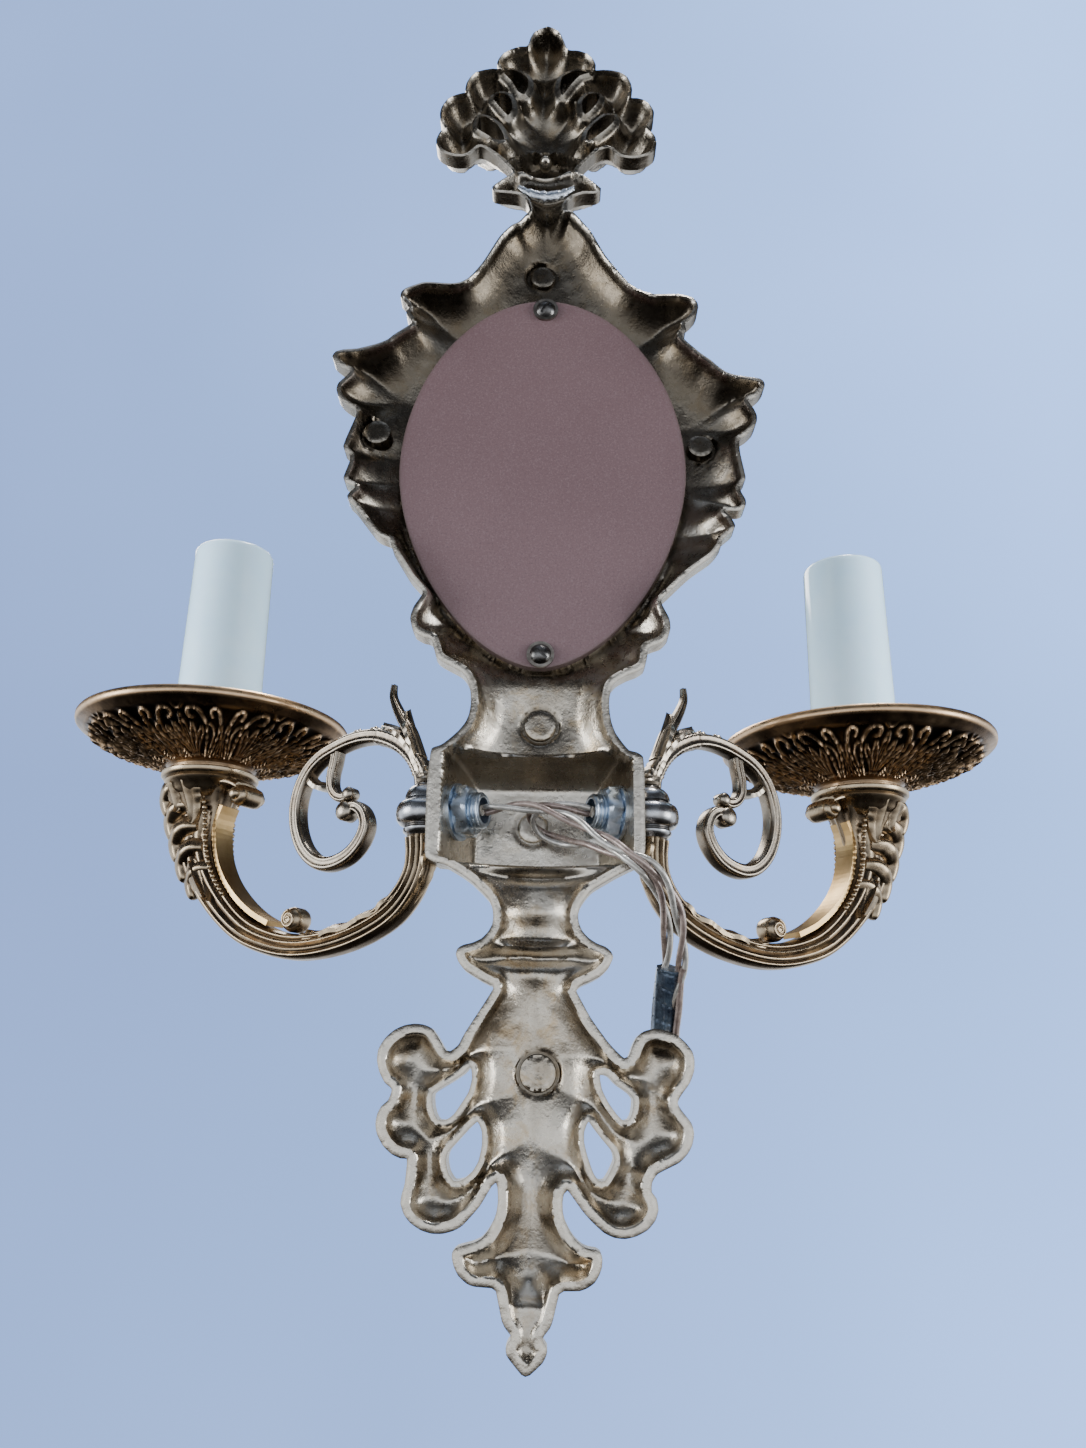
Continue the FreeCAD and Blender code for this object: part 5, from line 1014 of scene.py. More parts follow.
def arm(side):
    sx, cup, K, E, d, n, at = arm_frame(side)
    A = catmull(ARM, 9)
    sel = A[A[:, 1] <= -5.4]
    m = 104
    th = np.linspace(0, 2 * math.pi, m, endpoint=False)
    rings = []
    cen = np.array([at(s, z) for s, z, w, t in sel])
    T = np.gradient(cen, axis=0)
    T /= np.linalg.norm(T, axis=1)[:, None]
    us = []
    inner0 = np.array([at(50.0, -20.0)]).ravel()
    mi = len(cen) // 2
    sgn0 = 1.0 if np.dot(unit(np.cross(T[mi], n)), inner0 - cen[mi]) > 0 else -1.0
    rimv = []
    for i, (s, z, w, t) in enumerate(sel):
        u = unit(np.cross(T[i], n))
        # u points to the inside of the bend for one sense of n
        us.append(u)
        flare = sstep((s - 83.0) / 3.0) * sstep((z + 27) / 14.0)
        c, q = np.cos(th), np.sin(th)
        ex1 = 0.55 + 0.45 * flare
        a_ = np.sign(c) * np.abs(c) ** ex1 * w / 2
        b_ = np.sign(q) * np.abs(q) ** ex1 * (t / 2 + 0.1)
        ua = np.clip(a_ / (w / 2), -1, 1)
        face = sstep((np.abs(q) - 0.25) / 0.35) * (1 - flare)
        reed = np.abs(np.sin(math.pi * 4.0 * (ua + 1) / 2)) ** 0.55
        b_ = b_ + np.sign(q) * face * (0.95 * reed - 0.55)
        # calyx flutes
        a2 = 1 + 0.055 * flare * np.cos(10 * th)
        rings.append(cen[i] + np.outer(a_ * a2, u) + np.outer(b_ * a2, n))
        rimv += list(0.10 + 0.75 * sstep((-c * sgn0 - 0.60) / 0.25) * (1 - flare))
    bd = Build()
    v, f = loft(rings)
    bd.add(v, f, rim=rimv + [0.1] * (len(v) - len(rimv)))
    # which way is the inside of the bend
    inner = np.array([at(50.0, -20.0)]).ravel()
    sg = 1.0 if np.dot(us[len(us) // 2], inner - cen[len(us) // 2]) > 0 else -1.0
    us = [q * sg for q in us]
    top = ZC + cup[2] - 0.2
    # cup ring: three turned mouldings
    prof = [(4.0, top - 0.02), (14.4, top - 0.02), (15.0, top - 0.5), (15.0, top - 1.5), (14.5, top - 2.1), (13.6, top - 2.5), (13.9, top - 3.1),
            (13.5, top - 3.9), (12.3, top - 4.5), (11.6, top - 6.0), (9.0, top - 8.5), (4.0, top - 8.5)]
    v, f = lathe(prof, E[0], E[1], 96)
    bd.add(v, f, rim=0.5)
    # beaded edge along the inner line of the back and front faces near the cup
    ln = catmull([(81.4, -9.0), (80.2, -13.0), (79.6, -18.0), (79.0, -23.5), (77.2, -29.5), (73.8, -35.4), (69.0, -41.0)], 40)
    L = np.array([at(s, z) for s, z in ln])
    acc = np.concatenate([[0], np.cumsum(np.linalg.norm(np.diff(L, axis=0), axis=1))])
    for kk in range(int(acc[-1] / 1.75)):
        t0 = kk * 1.75
        i = min(np.searchsorted(acc, t0), len(L) - 1)
        wz = np.interp(-ln[i][1], [9, 20, 30, 40], [6.2, 5.6, 5.2, 4.8])
        for sg2 in (1, -1):
            v, f = ball(L[i] + n * wz * sg2, 0.92 - 0.0035 * t0, 8)
            bd.add(v, f, rim=0.7)
    # acanthus leaves down the outer edge, in three tiers, and two at the sides
    def tier(sa, za, sb, zb, w0, lift0, wide):
        mid = [(sa, za), ((sa * 2 + sb) / 3 + 0.9, (za * 2 + zb) / 3), ((sa + 2 * sb) / 3 + 0.7, (za + 2 * zb) / 3), (sb, zb)]
        ln_ = catmull(mid, 9)
        C = np.array([at(s, z) for s, z in ln_])
        Tn = np.gradient(C, axis=0)
        up = [unit(np.cross(Tn[i], n)) for i in range(len(C))]
        out = C[len(C) // 2] - at(70.0, -20.0)
        up = [u_ * (1 if np.dot(u_, out) > 0 else -1) for u_ in up]
        leaf(bd, C, up, [n] * len(C), lambda t: w0 * (0.62 + 0.75 * math.sin(math.pi * min(1, 0.15 + 0.9 * t))) * (1 - 0.80 * t ** 3), lambda t: lift0 + 2.2 * t ** 3, 5, 1.0)
    for sg2 in (1, -1):
        for (pa, pb, pc, w0) in (((85.0, -4.6), (84.6, -10.0), (83.6, -17.5), 7.5), ((91.0, -4.6), (90.4, -9.0), (89.6, -13.5), 6.5),
                                 ((84.2, -29.0), (80.5, -35.5), (75.0, -41.5), 6.0)):
            ln_ = catmull([pa, pb, pc], 11)
            half = np.array([np.interp(-z, [4, 8, 12, 18, 26, 34, 44], [11.2, 9.2, 7.4, 5.9, 5.2, 4.9, 4.6]) for s, z in ln_])
            C = np.array([at(s, z) + n * sg2 * (h - 0.1) for (s, z), h in zip(ln_, half)])
            Tn = np.gradient(C, axis=0)
            sd = [unit(np.cross(n, Tn[i])) for i in range(len(C))]
            leaf(bd, C, [n * sg2] * len(C), sd, lambda t: w0 * (0.55 + 0.6 * math.sin(math.pi * min(1, 0.2 + 0.85 * t))) * (1 - 0.82 * t ** 3), lambda t: 0.1 + 1.5 * t ** 4, 5, 0.9)
    for sg2 in (1, -1):
        for (ls, lz, ll, lw, hh) in ((93.6, -8.0, 6.2, 8.2, 9.0), (92.4, -14.6, 7.0, 8.6, 7.0), (90.4, -21.4, 7.0, 8.4, 6.0), (87.6, -28.0, 6.6, 7.8, 5.4), (83.6, -34.2, 6.0, 6.8, 5.0)):
            ln_ = catmull([(ls - ll * 0.95, lz + ll * 0.55), (ls - ll * 0.1, lz + ll * 0.55), (ls + ll * 0.55, lz - ll * 0.1), (ls + ll * 0.30, lz - ll * 0.95)], 8)
            C = np.array([at(s - 0.8, z) + n * sg2 * (hh - 2.5 - 1.6 * sstep((s - ls - 1.0) / 4.0)) for s, z in ln_])
            T_ = np.gradient(C, axis=0)
            rings_ = []
            for q_ in range(len(C)):
                e_ = q_ / (len(C) - 1)
                t_ = unit(T_[q_])
                w_ = unit(np.cross(n * sg2, t_))
                r_ = lw / 2 * (0.42 + 0.86 * math.sin(math.pi * min(1.0, 0.12 + 0.88 * e_)) ** 0.8)
                rings_.append(np.array([C[q_] + w_ * r_ * 0.74 * math.cos(a_) + n * sg2 * r_ * 0.85 * math.sin(a_) * (1 + 0.05 * math.cos(5 * a_)) for a_ in np.linspace(0, 2 * math.pi, 28, endpoint=False)]))
            v, f = loft(rings_)
            bd.add(v, f, rim=0.25)
    # rolled leaf end under the ring on the inner side
    for rr, tt in ((3.3, 5.0), (2.0, 6.6)):
        th2 = np.linspace(0, 2 * math.pi, 28, endpoint=False)
        C0 = at(68.8, -9.1)
        uz = np.array([0, 0, 1.0])
        rr_ = []
        for tt_, sc in ((-tt, 0.55), (-tt + 0.8, 0.92), (-tt * 0.5, 1.0), (tt * 0.5, 1.0), (tt - 0.8, 0.92), (tt, 0.55)):
            rr_.append(np.array([C0 + n * tt_ + (d * math.cos(a) + uz * math.sin(a)) * rr * sc for a in th2]))
        v, f = loft(rr_)
        bd.add(v, f, rim=0.55)
    ribbon = catmull([(69.2, -6.3), (73.0, -4.6), (77.6, -4.2), (81.5, -5.2)], 8)
    rings = []
    for i, (s, z) in enumerate(ribbon):
        t = i / (len(ribbon) - 1)
        w = 9.6 + 5.0 * t
        hgt = 2.6 + 1.8 * t
        c0 = at(s, z)
        rings.append(np.array([c0 + n * (w / 2) * math.copysign(abs(math.cos(a)) ** 0.6, math.cos(a)) + np.array([0, 0, 1.0]) * (hgt / 2) * math.copysign(abs(math.sin(a)) ** 0.6, math.sin(a))
                               * (1 + 0.10 * math.cos(8 * a)) for a in np.linspace(0, 2 * math.pi, 40, endpoint=False)]))
    v, f = loft(rings)
    bd.add(v, f, rim=0.3)
    # small curl with its leaf inside the bend at the bottom
    th2 = np.linspace(0, 2 * math.pi, 28, endpoint=False)
    C0 = at(44.2, -48.6)
    uz = np.array([0, 0, 1.0])
    rr_ = []
    for tt_, sc in ((-3.9, 0.15), (-3.75, 0.45), (-3.3, 0.72), (-2.6, 0.90), (-1.6, 1.0), (1.6, 1.0), (2.6, 0.90), (3.3, 0.72), (3.75, 0.45), (3.9, 0.15)):
        rr_.append(np.array([C0 + n * tt_ + (d * math.cos(a) + uz * math.sin(a)) * 3.6 * sc for a in th2]))
    v, f = loft(rr_)
    bd.add(v, f, rim=0.6)
    sp = np.array([(44.2 + 1.0 * math.cos(a) * (a / 6.0 + 0.25), -48.6 + 1.0 * math.sin(a) * (a / 6.0 + 0.25)) for a in np.linspace(0, 14, 60)])
    for sg2 in (1, -1):
        v, f = tube_along([at(s, z, sg2 * (3.95 - 0.16 * ((s - 44.2) ** 2 + (z + 48.6) ** 2) ** 0.5 * 1.4)) for s, z in sp], 0.42, 8)
        bd.add(v, f, rim=0.8)
    ids = [i for i, (s, z, w, t) in enumerate(sel) if z < -30 and 2.0 < s < 41.0]
    if len(ids) > 6:
        C = np.array([cen[i] + us[i] * (sel[i][2] / 2 - 0.55) for i in ids])
        if np.linalg.norm(C[0] - at(44.2, -48.6)) > np.linalg.norm(C[-1] - at(44.2, -48.6)):
            C, ids = C[::-1], ids[::-1]
        leaf(bd, C, [us[i] for i in ids], [n] * len(C), lambda t: 7.4 * (0.85 + 0.2 * math.sin(math.pi * t)) * (1 - 0.45 * t ** 2) * (1 + 0.07 * math.cos(28 * t)), lambda t: 0.15 + 0.35 * math.cos(28 * t), 7, 0.7)
    # small leaf where the branch leaves the knob
    ln_ = catmull([(-2.6, -29.5), (-2.6, -35.0), (-0.6, -41.0), (4.2, -46.0)], 8)
    C = np.array([at(s, z) for s, z in ln_])
    Tn = np.gradient(C, axis=0)
    up = [unit(np.cross(Tn[i], n)) for i in range(len(C))]
    up = [u_ * (1 if np.dot(u_, -d) > 0 or u_[2] < 0 else -1) for u_ in up]
    leaf(bd, C, up, [n] * len(C), lambda t: 6.4 * (1 - 0.7 * t ** 2), lambda t: 0.0 + 0.4 * t, 4, 0.6)
    ob = bd.obj(side + "_branch", M_ARM, 50)
    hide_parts(side + "_arm")
    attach(ob, "fixture")
    dress(side + "_wire_cover_strip", M_STRIP)


def scroll(side):
    sx, cup, K, E, d, n, at = arm_frame(side)
    uz = np.array([0, 0, 1.0])
    bd = Build()

    def sweep(line, wfun, tfun, k=6, groove=0.35, ribs=None, rimv=0.3):
        L = catmull(line, k)
        C = np.array([at(s, z) for s, z in L])
        T = np.gradient(C, axis=0)
        T /= np.linalg.norm(T, axis=1)[:, None]
        rings = []
        th = np.linspace(0, 2 * math.pi, 44, endpoint=False)
        for i in range(len(C)):
            t = i / (len(C) - 1)
            u = unit(np.cross(T[i], n))
            w, tk = wfun(t), tfun(t)
            if ribs and ribs[0] < t < ribs[1]:
                w *= 1 + 0.13 * abs(math.sin(i * math.pi / 2.0))
                tk *= 1 + 0.10 * abs(math.sin(i * math.pi / 2.0))
            c, q = np.cos(th), np.sin(th)
            a_ = np.sign(c) * np.abs(c) ** 0.6 * w / 2
            b_ = np.sign(q) * np.abs(q) ** 0.6 * tk / 2
            ua = a_ / (w / 2)
            b_ = b_ - np.sign(q) * groove * np.exp(-(ua / 0.42) ** 2) * sstep((np.abs(q) - 0.4) / 0.3)
            rings.append(C[i] + np.outer(a_, u) + np.outer(b_, n))
        v, f = loft(rings)
        bd.add(v, f, rim=rimv)

    sweep(SCROLL, lambda t: 4.3 * (1 - 0.22 * sstep((t - 0.75) / 0.25)) + 1.0 * sstep((0.12 - t) / 0.12), lambda t: 5.6 - 0.6 * sstep((t - 0.8) / 0.2), 7, 0.5, (0.05, 0.22))
    sweep(SCROLL_CURL, lambda t: 3.3 - 0.4 * t, lambda t: 4.6 - 0.3 * t, 7, 0.35)
    sweep([(24.0, -17.5), (26.2, -17.0), (28.6, -17.6)], lambda t: 2.6, lambda t: 4.6, 5, 0.2)
    sweep(SCROLL_LEAF, lambda t: 4.6 - 3.3 * t ** 0.8, lambda t: 4.8 - 2.6 * t, 7, 0.7)
    for (s, z, r, sq) in ((28.0, -18.4, 2.9, 1.05), (27.2, -13.3, 2.0, 1.2)):
        C0 = at(s, z)
        th2 = np.linspace(0, 2 * math.pi, 26, endpoint=False)
        rr_ = []
        for tt_, sc in ((-3.0, 0.3), (-2.7, 0.75), (-1.9, 1.0), (1.9, 1.0), (2.7, 0.75), (3.0, 0.3)):
            rr_.append(np.array([C0 + n * tt_ * sq * (r / 2.9) + (d * math.cos(a) + uz * math.sin(a)) * r * sc for a in th2]))
        v, f = loft(rr_)
        bd.add(v, f, rim=0.7)
    # leaves over the start of the scroll and small blossoms along its top
    for sa, w0 in (([(2.0, -9.0), (5.6, -2.4), (11.0, 2.4), (17.4, 4.6)], 5.4), ([(1.0, -11.5), (4.0, -3.4), (7.0, 3.0), (9.6, 8.6)], 5.2), ([(43.8, -5.6), (40.0, -9.6), (35.0, -11.2)], 3.6)):
        ln_ = catmull(sa, 8)
        C = np.array([at(s, z) for s, z in ln_])
        Tn = np.gradient(C, axis=0)
        up = [unit(np.cross(Tn[i], n)) for i in range(len(C))]
        up = [u_ * (1 if u_[2] > 0 else -1) for u_ in up]
        leaf(bd, C, up, [n] * len(C), lambda t: w0 * (0.8 + 0.35 * math.sin(math.pi * t)) * (1 - 0.72 * t ** 3), lambda t: 0.5 + 0.9 * t ** 2, 5, 0.5)
    for s, z in ((19.5, 4.9), (25.5, 5.0)):
        c0 = at(s, z)
        for kk in range(5):
            a = 2 * math.pi * kk / 5
            v, f = ball(c0 + n * 1.35 * math.cos(a) + d * 1.35 * math.sin(a), 1.0, 8, (1, 1, 0.8))
            bd.add(v, f, rim=0.5)
        v, f = ball(c0 + uz * 0.7, 0.8, 8)
        bd.add(v, f, rim=0.8)
    # collar and neck on the knob
    kz = ZC
    v, f = lathe([(0.0, kz - 16.4), (1.55, kz - 16.4), (1.55, kz - 13.35), (2.9, kz - 13.35), (3.3, kz - 12.6), (2.9, kz - 11.9), (2.4, kz - 11.6), (2.7, kz - 11.0), (2.3, kz - 10.3), (0.0, kz - 10.0)], K[0], K[1], 40)
    bd.add(v, f, rim=0.5)
    ob = bd.obj(side + "_scroll_cast", M_SCROLL, 50)
    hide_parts(side + "_scroll")
    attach(ob, "fixture")


AX = np.array([0.9396926, -0.3420201, 0.0])
T_OUT = (KNOB_X - BOX_HALF + BOX_DRAFT * KNOB_Y) / (AX[0] - BOX_DRAFT * AX[1])
T_IN = T_OUT + 3.0


def side_axis(sx):
    return np.array([sx * AX[0], AX[1], 0.0])


def on_side(sx, t, z=NIP_Z):
    return np.array([sx * KNOB_X, -KNOB_Y, z]) - side_axis(sx) * t


def knob(side):
    sx, cup, K, E, d, n, at = arm_frame(side)
    kz = ZC
    pr = [(0.0, -13.4), (2.6, -13.4), (3.2, -13.9), (3.4, -14.4), (4.4, -14.9), (5.3, -15.9), (5.8, -17.2), (5.9, -18.1), (5.4, -18.5), (5.6, -18.9), (6.6, -19.1),
          (7.5, -19.7), (8.0, -20.7), (8.2, -22.0), (8.2, -22.9), (7.9, -24.2), (7.2, -25.2), (6.3, -25.7), (5.7, -25.9), (5.7, -26.3), (6.1, -26.7), (6.0, -27.4), (5.4, -28.0), (5.0, -28.6), (0.0, -28.6)]
    me = bpy.data.meshes.new(side + "_k")
    v, f = lathe([(r, z + kz) for r, z in pr], K[0], K[1], 72)
    me.from_pydata([tuple(c * MM for c in p) for p in v], [], f)
    bm = bmesh.new()
    bm.from_mesh(me)
    bmesh.ops.remove_doubles(bm, verts=bm.verts, dist=1e-6)
    p0 = on_side(sx, T_OUT, 0) * MM
    nr = np.array([math.cos(math.atan(BOX_DRAFT)) * sx, -math.sin(math.atan(BOX_DRAFT)), 0.0])
    geom = list(bm.verts) + list(bm.edges) + list(bm.faces)
    r = bmesh.ops.bisect_plane(bm, geom=geom, plane_co=Vector(p0), plane_no=Vector(nr), clear_inner=True)
    bmesh.ops.holes_fill(bm, edges=[e for e in bm.edges if e.is_boundary], sides=0)
    bmesh.ops.recalc_face_normals(bm, faces=bm.faces)
    bm.to_mesh(me)
    bm.free()
    me.shade_smooth()
    me.set_sharp_from_angle(angle=math.radians(50))
    me.materials.append(M_KNOB)
    ob = link(bpy.data.objects.new(side + "_turned_knob", me))
    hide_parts(side + "_arm_knob")
    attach(ob, "fixture")


def about(axis_pt, axis, prof, seg=60, hexa=None):
    """Turned or hexagonal piece about any axis: prof is (radius, t) pairs; hexa
    gives the across-flats size that caps the radius."""
    a = unit(axis)
    u = unit(np.array([0, 0, 1.0]) - a * a[2]) if abs(a[2]) < 0.9 else np.array([1.0, 0, 0])
    w = np.cross(a, u)
    rings = []
    for r, t in prof:
        ring = []
        for k in range(seg):
            th = 2 * math.pi * k / seg
            rr = r
            if hexa:
                q = (th + math.pi / 6) % (math.pi / 3) - math.pi / 6
                rr = min(r, hexa / 2 / math.cos(q))
            ring.append(axis_pt + a * t + (u * math.cos(th) + w * math.sin(th)) * rr)
        rings.append(np.array(ring))
    verts = [tuple(p) for r in rings for p in r]
    faces = []
    m = len(rings)
    for i in range(m):
        i2 = (i + 1) % m
        for j in range(seg):
            j2 = (j + 1) % seg
            faces.append((i * seg + j, i * seg + j2, i2 * seg + j2, i2 * seg + j))
    return verts, faces


def nut_and_nipple(side):
    sx = 1 if side == "right" else -1
    a = side_axis(sx) * -1.0
    bd = Build()
    c = on_side(sx, T_IN)
    v, f = about(c, a, [(5.02, 0.1), (8.2, 0.0), (8.2, 0.9), (6.9, 0.95), (7.35, 1.5), (7.55, 4.2), (6.7, 5.0), (5.6, 5.0), (5.02, 4.6)], 72, None)
    v, f = about(c, a, [(5.02, 0.9), (6.3, 0.9), (7.55, 1.35), (7.6, 4.2), (6.4, 5.0), (5.5, 5.0), (5.02, 4.6)], 72, 13.0)
    bd.add(v, f)
    v, f = about(c, a, [(5.02, 0.0), (7.9, 0.0), (7.9, 0.9), (5.02, 0.9)], 60)
    bd.add(v, f)
    ob = bd.obj(side + "_nipple_nut", M_ZINC, 30)
    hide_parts(side + "_hex_nut")
    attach(ob, "fixture")
    bd = Build()
    prof = [(3.6, -1.0), (4.6, -1.0), (5.0, -0.6)]
    t = -0.2
    while t < 17.0:
        prof += [(5.0, t), (5.0, t + 0.25), (4.5, t + 0.5), (4.5, t + 0.75)]
        t += 1.0
    prof += [(4.7, 17.3), (4.3, 17.5), (3.6, 17.5)]
    c = on_side(sx, 0.0)
    v, f = about(c, a, prof, 60)
    bd.add(v, f)
    ob = bd.obj(side + "_threaded_nipple", M_ZINC, 40)
    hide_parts(side + "_side_nipple")
    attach(ob, "fixture")


def pan(side):
    sx, cup, K, E, d, n, at = arm_frame(side)
    z0 = ZC + cup[2] - 0.2
    # relief curves in one sector: (a, v), a in -1..1 across the sector, v 0..1 outwards
    curves = []

    def bez(p0, p1, p2, p3, h=1.0, w=0.55):
        t = np.linspace(0, 1, 26)[:, None]
        p0, p1, p2, p3 = map(np.array, (p0, p1, p2, p3))
        c = (1 - t) ** 3 * p0 + 3 * (1 - t) ** 2 * t * p1 + 3 * (1 - t) * t * t * p2 + t ** 3 * p3
        curves.append((c, h, w))
    for k_ in (-2, -1, 0, 1, 2):
        tip = (0.22 * k_, 0.74 - 0.05 * abs(k_) + (0.10 if k_ == 0 else 0.0))
        base = (0.05 * k_, 0.0)
        for sd in (-1, 1):
            bez(base, (0.07 * k_ + 0.07 * sd, 0.30), (tip[0] + 0.13 * sd, 0.50), tip, 1.15, 0.46)
        bez((0.08 * k_, 0.10), (0.1 * k_, 0.3), (0.18 * k_, 0.45), (0.20 * k_, 0.60), 0.7, 0.40)
    for sd in (-1, 1):
        bez((0.34 * sd, 0.0), (0.62 * sd, 0.35), (0.66 * sd, 0.80), (0.34 * sd, 0.93), 1.25, 0.50)
        bez((0.34 * sd, 0.93), (0.14 * sd, 0.97), (0.12 * sd, 0.80), (0.26 * sd, 0.79), 1.15, 0.50)
        bez((0.44 * sd, 0.0), (0.78 * sd, 0.30), (0.84 * sd, 0.62), (0.62 * sd, 0.70), 1.1, 0.46)
        bez((0.56 * sd, 0.0), (0.86 * sd, 0.25), (0.98 * sd, 0.70), (0.80 * sd, 0.90), 1.2, 0.50)
        bez((0.80 * sd, 0.90), (0.70 * sd, 0.97), (0.60 * sd, 0.86), (0.70 * sd, 0.80), 1.1, 0.46)
        bez((0.70 * sd, 0.0), (0.95 * sd, 0.2), (1.0 * sd, 0.5), (0.92 * sd, 0.66), 1.0, 0.44)
        bez((0.86 * sd, 0.0), (0.97 * sd, 0.2), (0.99 * sd, 0.35), (1.0 * sd, 0.45), 0.9, 0.44)
    bez((-0.10, 0.98), (-0.05, 0.90), (0.05, 0.90), (0.10, 0.98), 0.9, 0.5)
    seg, nr = 720, 62
    NS = 8
    under = np.array([(PANP[0][0], PANP[0][1])] + PANP[1:], float)
    rr = np.interp(np.linspace(0, 1, nr), np.linspace(0, 1, len(under)), under[:, 0])
    zz = np.interp(np.linspace(0, 1, nr), np.linspace(0, 1, len(under)), under[:, 1])
    # smooth the underside profile
    for _ in range(6):
        zz[2:-6] = (zz[1:-7] + zz[2:-6] * 2 + zz[3:-5]) / 4
    phi = np.arange(seg) * 2 * math.pi / seg
    secw = math.pi / NS
    per = seg // NS
    al = (np.arange(per) + 0.5) / per * 2 - 1
    h = np.zeros((per, nr))
    vv = np.clip((rr - 13.2) / (39.8 - 13.2), -0.2, 1.2)
    for c, hh, w in curves:
        for i in range(nr):
            da = (al[:, None] - c[None, :, 0]) * secw * rr[i]
            da = np.minimum(np.abs(da), np.abs(np.abs(al[:, None] - c[None, :, 0]) - 2) * secw * rr[i])
            dv = (vv[i] - c[None, :, 1]) * 28.0
            dist = np.sqrt(da ** 2 + dv ** 2).min(1)
            h[:, i] = np.maximum(h[:, i], hh * np.exp(-(dist / (w * (0.55 + 0.45 * rr[i] / 30))) ** 2))
    mask = sstep((vv - 0.02) / 0.06) * sstep((1.0 - vv) / 0.08)
    bd = Build()
    verts, deepa, rima = [], [], []
    inn = [(42.25, 13.6), (42.42, 14.2), (42.42, 15.3), (42.0, 15.95), (41.2, 16.05), (40.7, 15.6), (40.5, 14.4), (39.4, 13.2), (36.2, 11.6), (31.4, 9.7), (25.6, 7.9), (19.6, 6.3), (16.0, 4.8), (15.0, 2.6), (5.02, 2.6), (5.02, 0.0)]
    m = nr + len(inn)
    for kk in range(seg):
        a = phi[kk] + secw
        hrow = h[kk % per] * mask
        for i in range(nr):
            i0, i1 = max(0, i - 1), min(nr - 1, i + 1)
            tr, tz = rr[i1] - rr[i0], zz[i1] - zz[i0]
            L = math.hypot(tr, tz) or 1
            off = 1.05 * hrow[i] - 0.45 * mask[i]
            r = rr[i] + off * tz / L
            z = z0 + zz[i] - off * tr / L
            verts.append((E[0] + r * math.cos(a), E[1] + r * math.sin(a), z))
            # patina plus painted shade: darker in the hollows between the raised relief
            deepa.append(max(0.30, 1.0 * mask[i] * (1 - min(1, hrow[i] * 1.3))))
            rima.append(0.62 * max(0.0, min(1, hrow[i]) - 0.35) / 0.65 * mask[i] if mask[i] > 0.05 else 0.12)
        for r, z in inn:
            verts.append((E[0] + r * math.cos(a), E[1] + r * math.sin(a), z0 + z))
            deepa.append(0.0)
            rima.append(0.6 if r > 40 else 0.2)
    faces = []
    for kk in range(seg):
        k2 = (kk + 1) % seg
        for j in range(m):
            j2 = (j + 1) % m
            faces.append((kk * m + j, kk * m + j2, k2 * m + j2, k2 * m + j))
    bd.add(verts, faces, deep=deepa, rim=rima)
    ob = bd.obj(side + "_drip_pan_cast", M_PAN, 50)
    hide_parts(side + "_drip_pan")
    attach(ob, "fixture")


PANP = [(5.02, 0.0), (12.5, 0.0), (12.9, 0.3), (12.9, 1.4), (13.6, 2.0), (15.5, 2.7), (18.0, 3.5), (21.0, 4.4), (24.5, 5.4), (28.0, 6.4), (31.5, 7.5), (34.5, 8.6), (37.2, 9.9), (39.4, 11.3), (40.8, 12.4), (41.8, 13.1)]


def sleeve(side):
    sx, cup, K, E, d, n, at = arm_frame(side)
    z0 = ZC + cup[2] - 0.2 + 2.6
    L = 75.4
    pr = [(12.5, z0), (13.45, z0), (13.6, z0 + 0.3), (13.55, z0 + 6), (13.22, z0 + 38), (12.9, z0 + L - 2.4), (12.86, z0 + L - 1.3), (12.66, z0 + L - 0.55),
          (12.3, z0 + L - 0.08), (12.05, z0 + L), (11.85, z0 + L - 0.2), (11.78, z0 + L - 0.8), (12.1, z0 + 38)]
    v, f = lathe(pr, E[0], E[1], 128)
    bd = Build()
    bd.add(v, f)
    ob = bd.obj(side + "_candle_tube", M_PLASTIC, 45)
    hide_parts(side + "_candle_sleeve")
    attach(ob, side + "_sleeve")
    dress(side + "_lampholder_body", M_HOLDER)
    dress(side + "_lampholder_thread_shell", M_SHELL)
    dress(side + "_lampholder_contact", M_SHELL)
    dress(side + "_candle_nipple", M_ZINC)
    dress(side + "_candle_nipple_nut", M_ZINC)
    dress(side + "_arm_wire", M_CLEAR)


for side_ in ("right", "left"):
    arm(side_)
    scroll(side_)
    knob(side_)
    nut_and_nipple(side_)
    pan(side_)
    sleeve(side_)


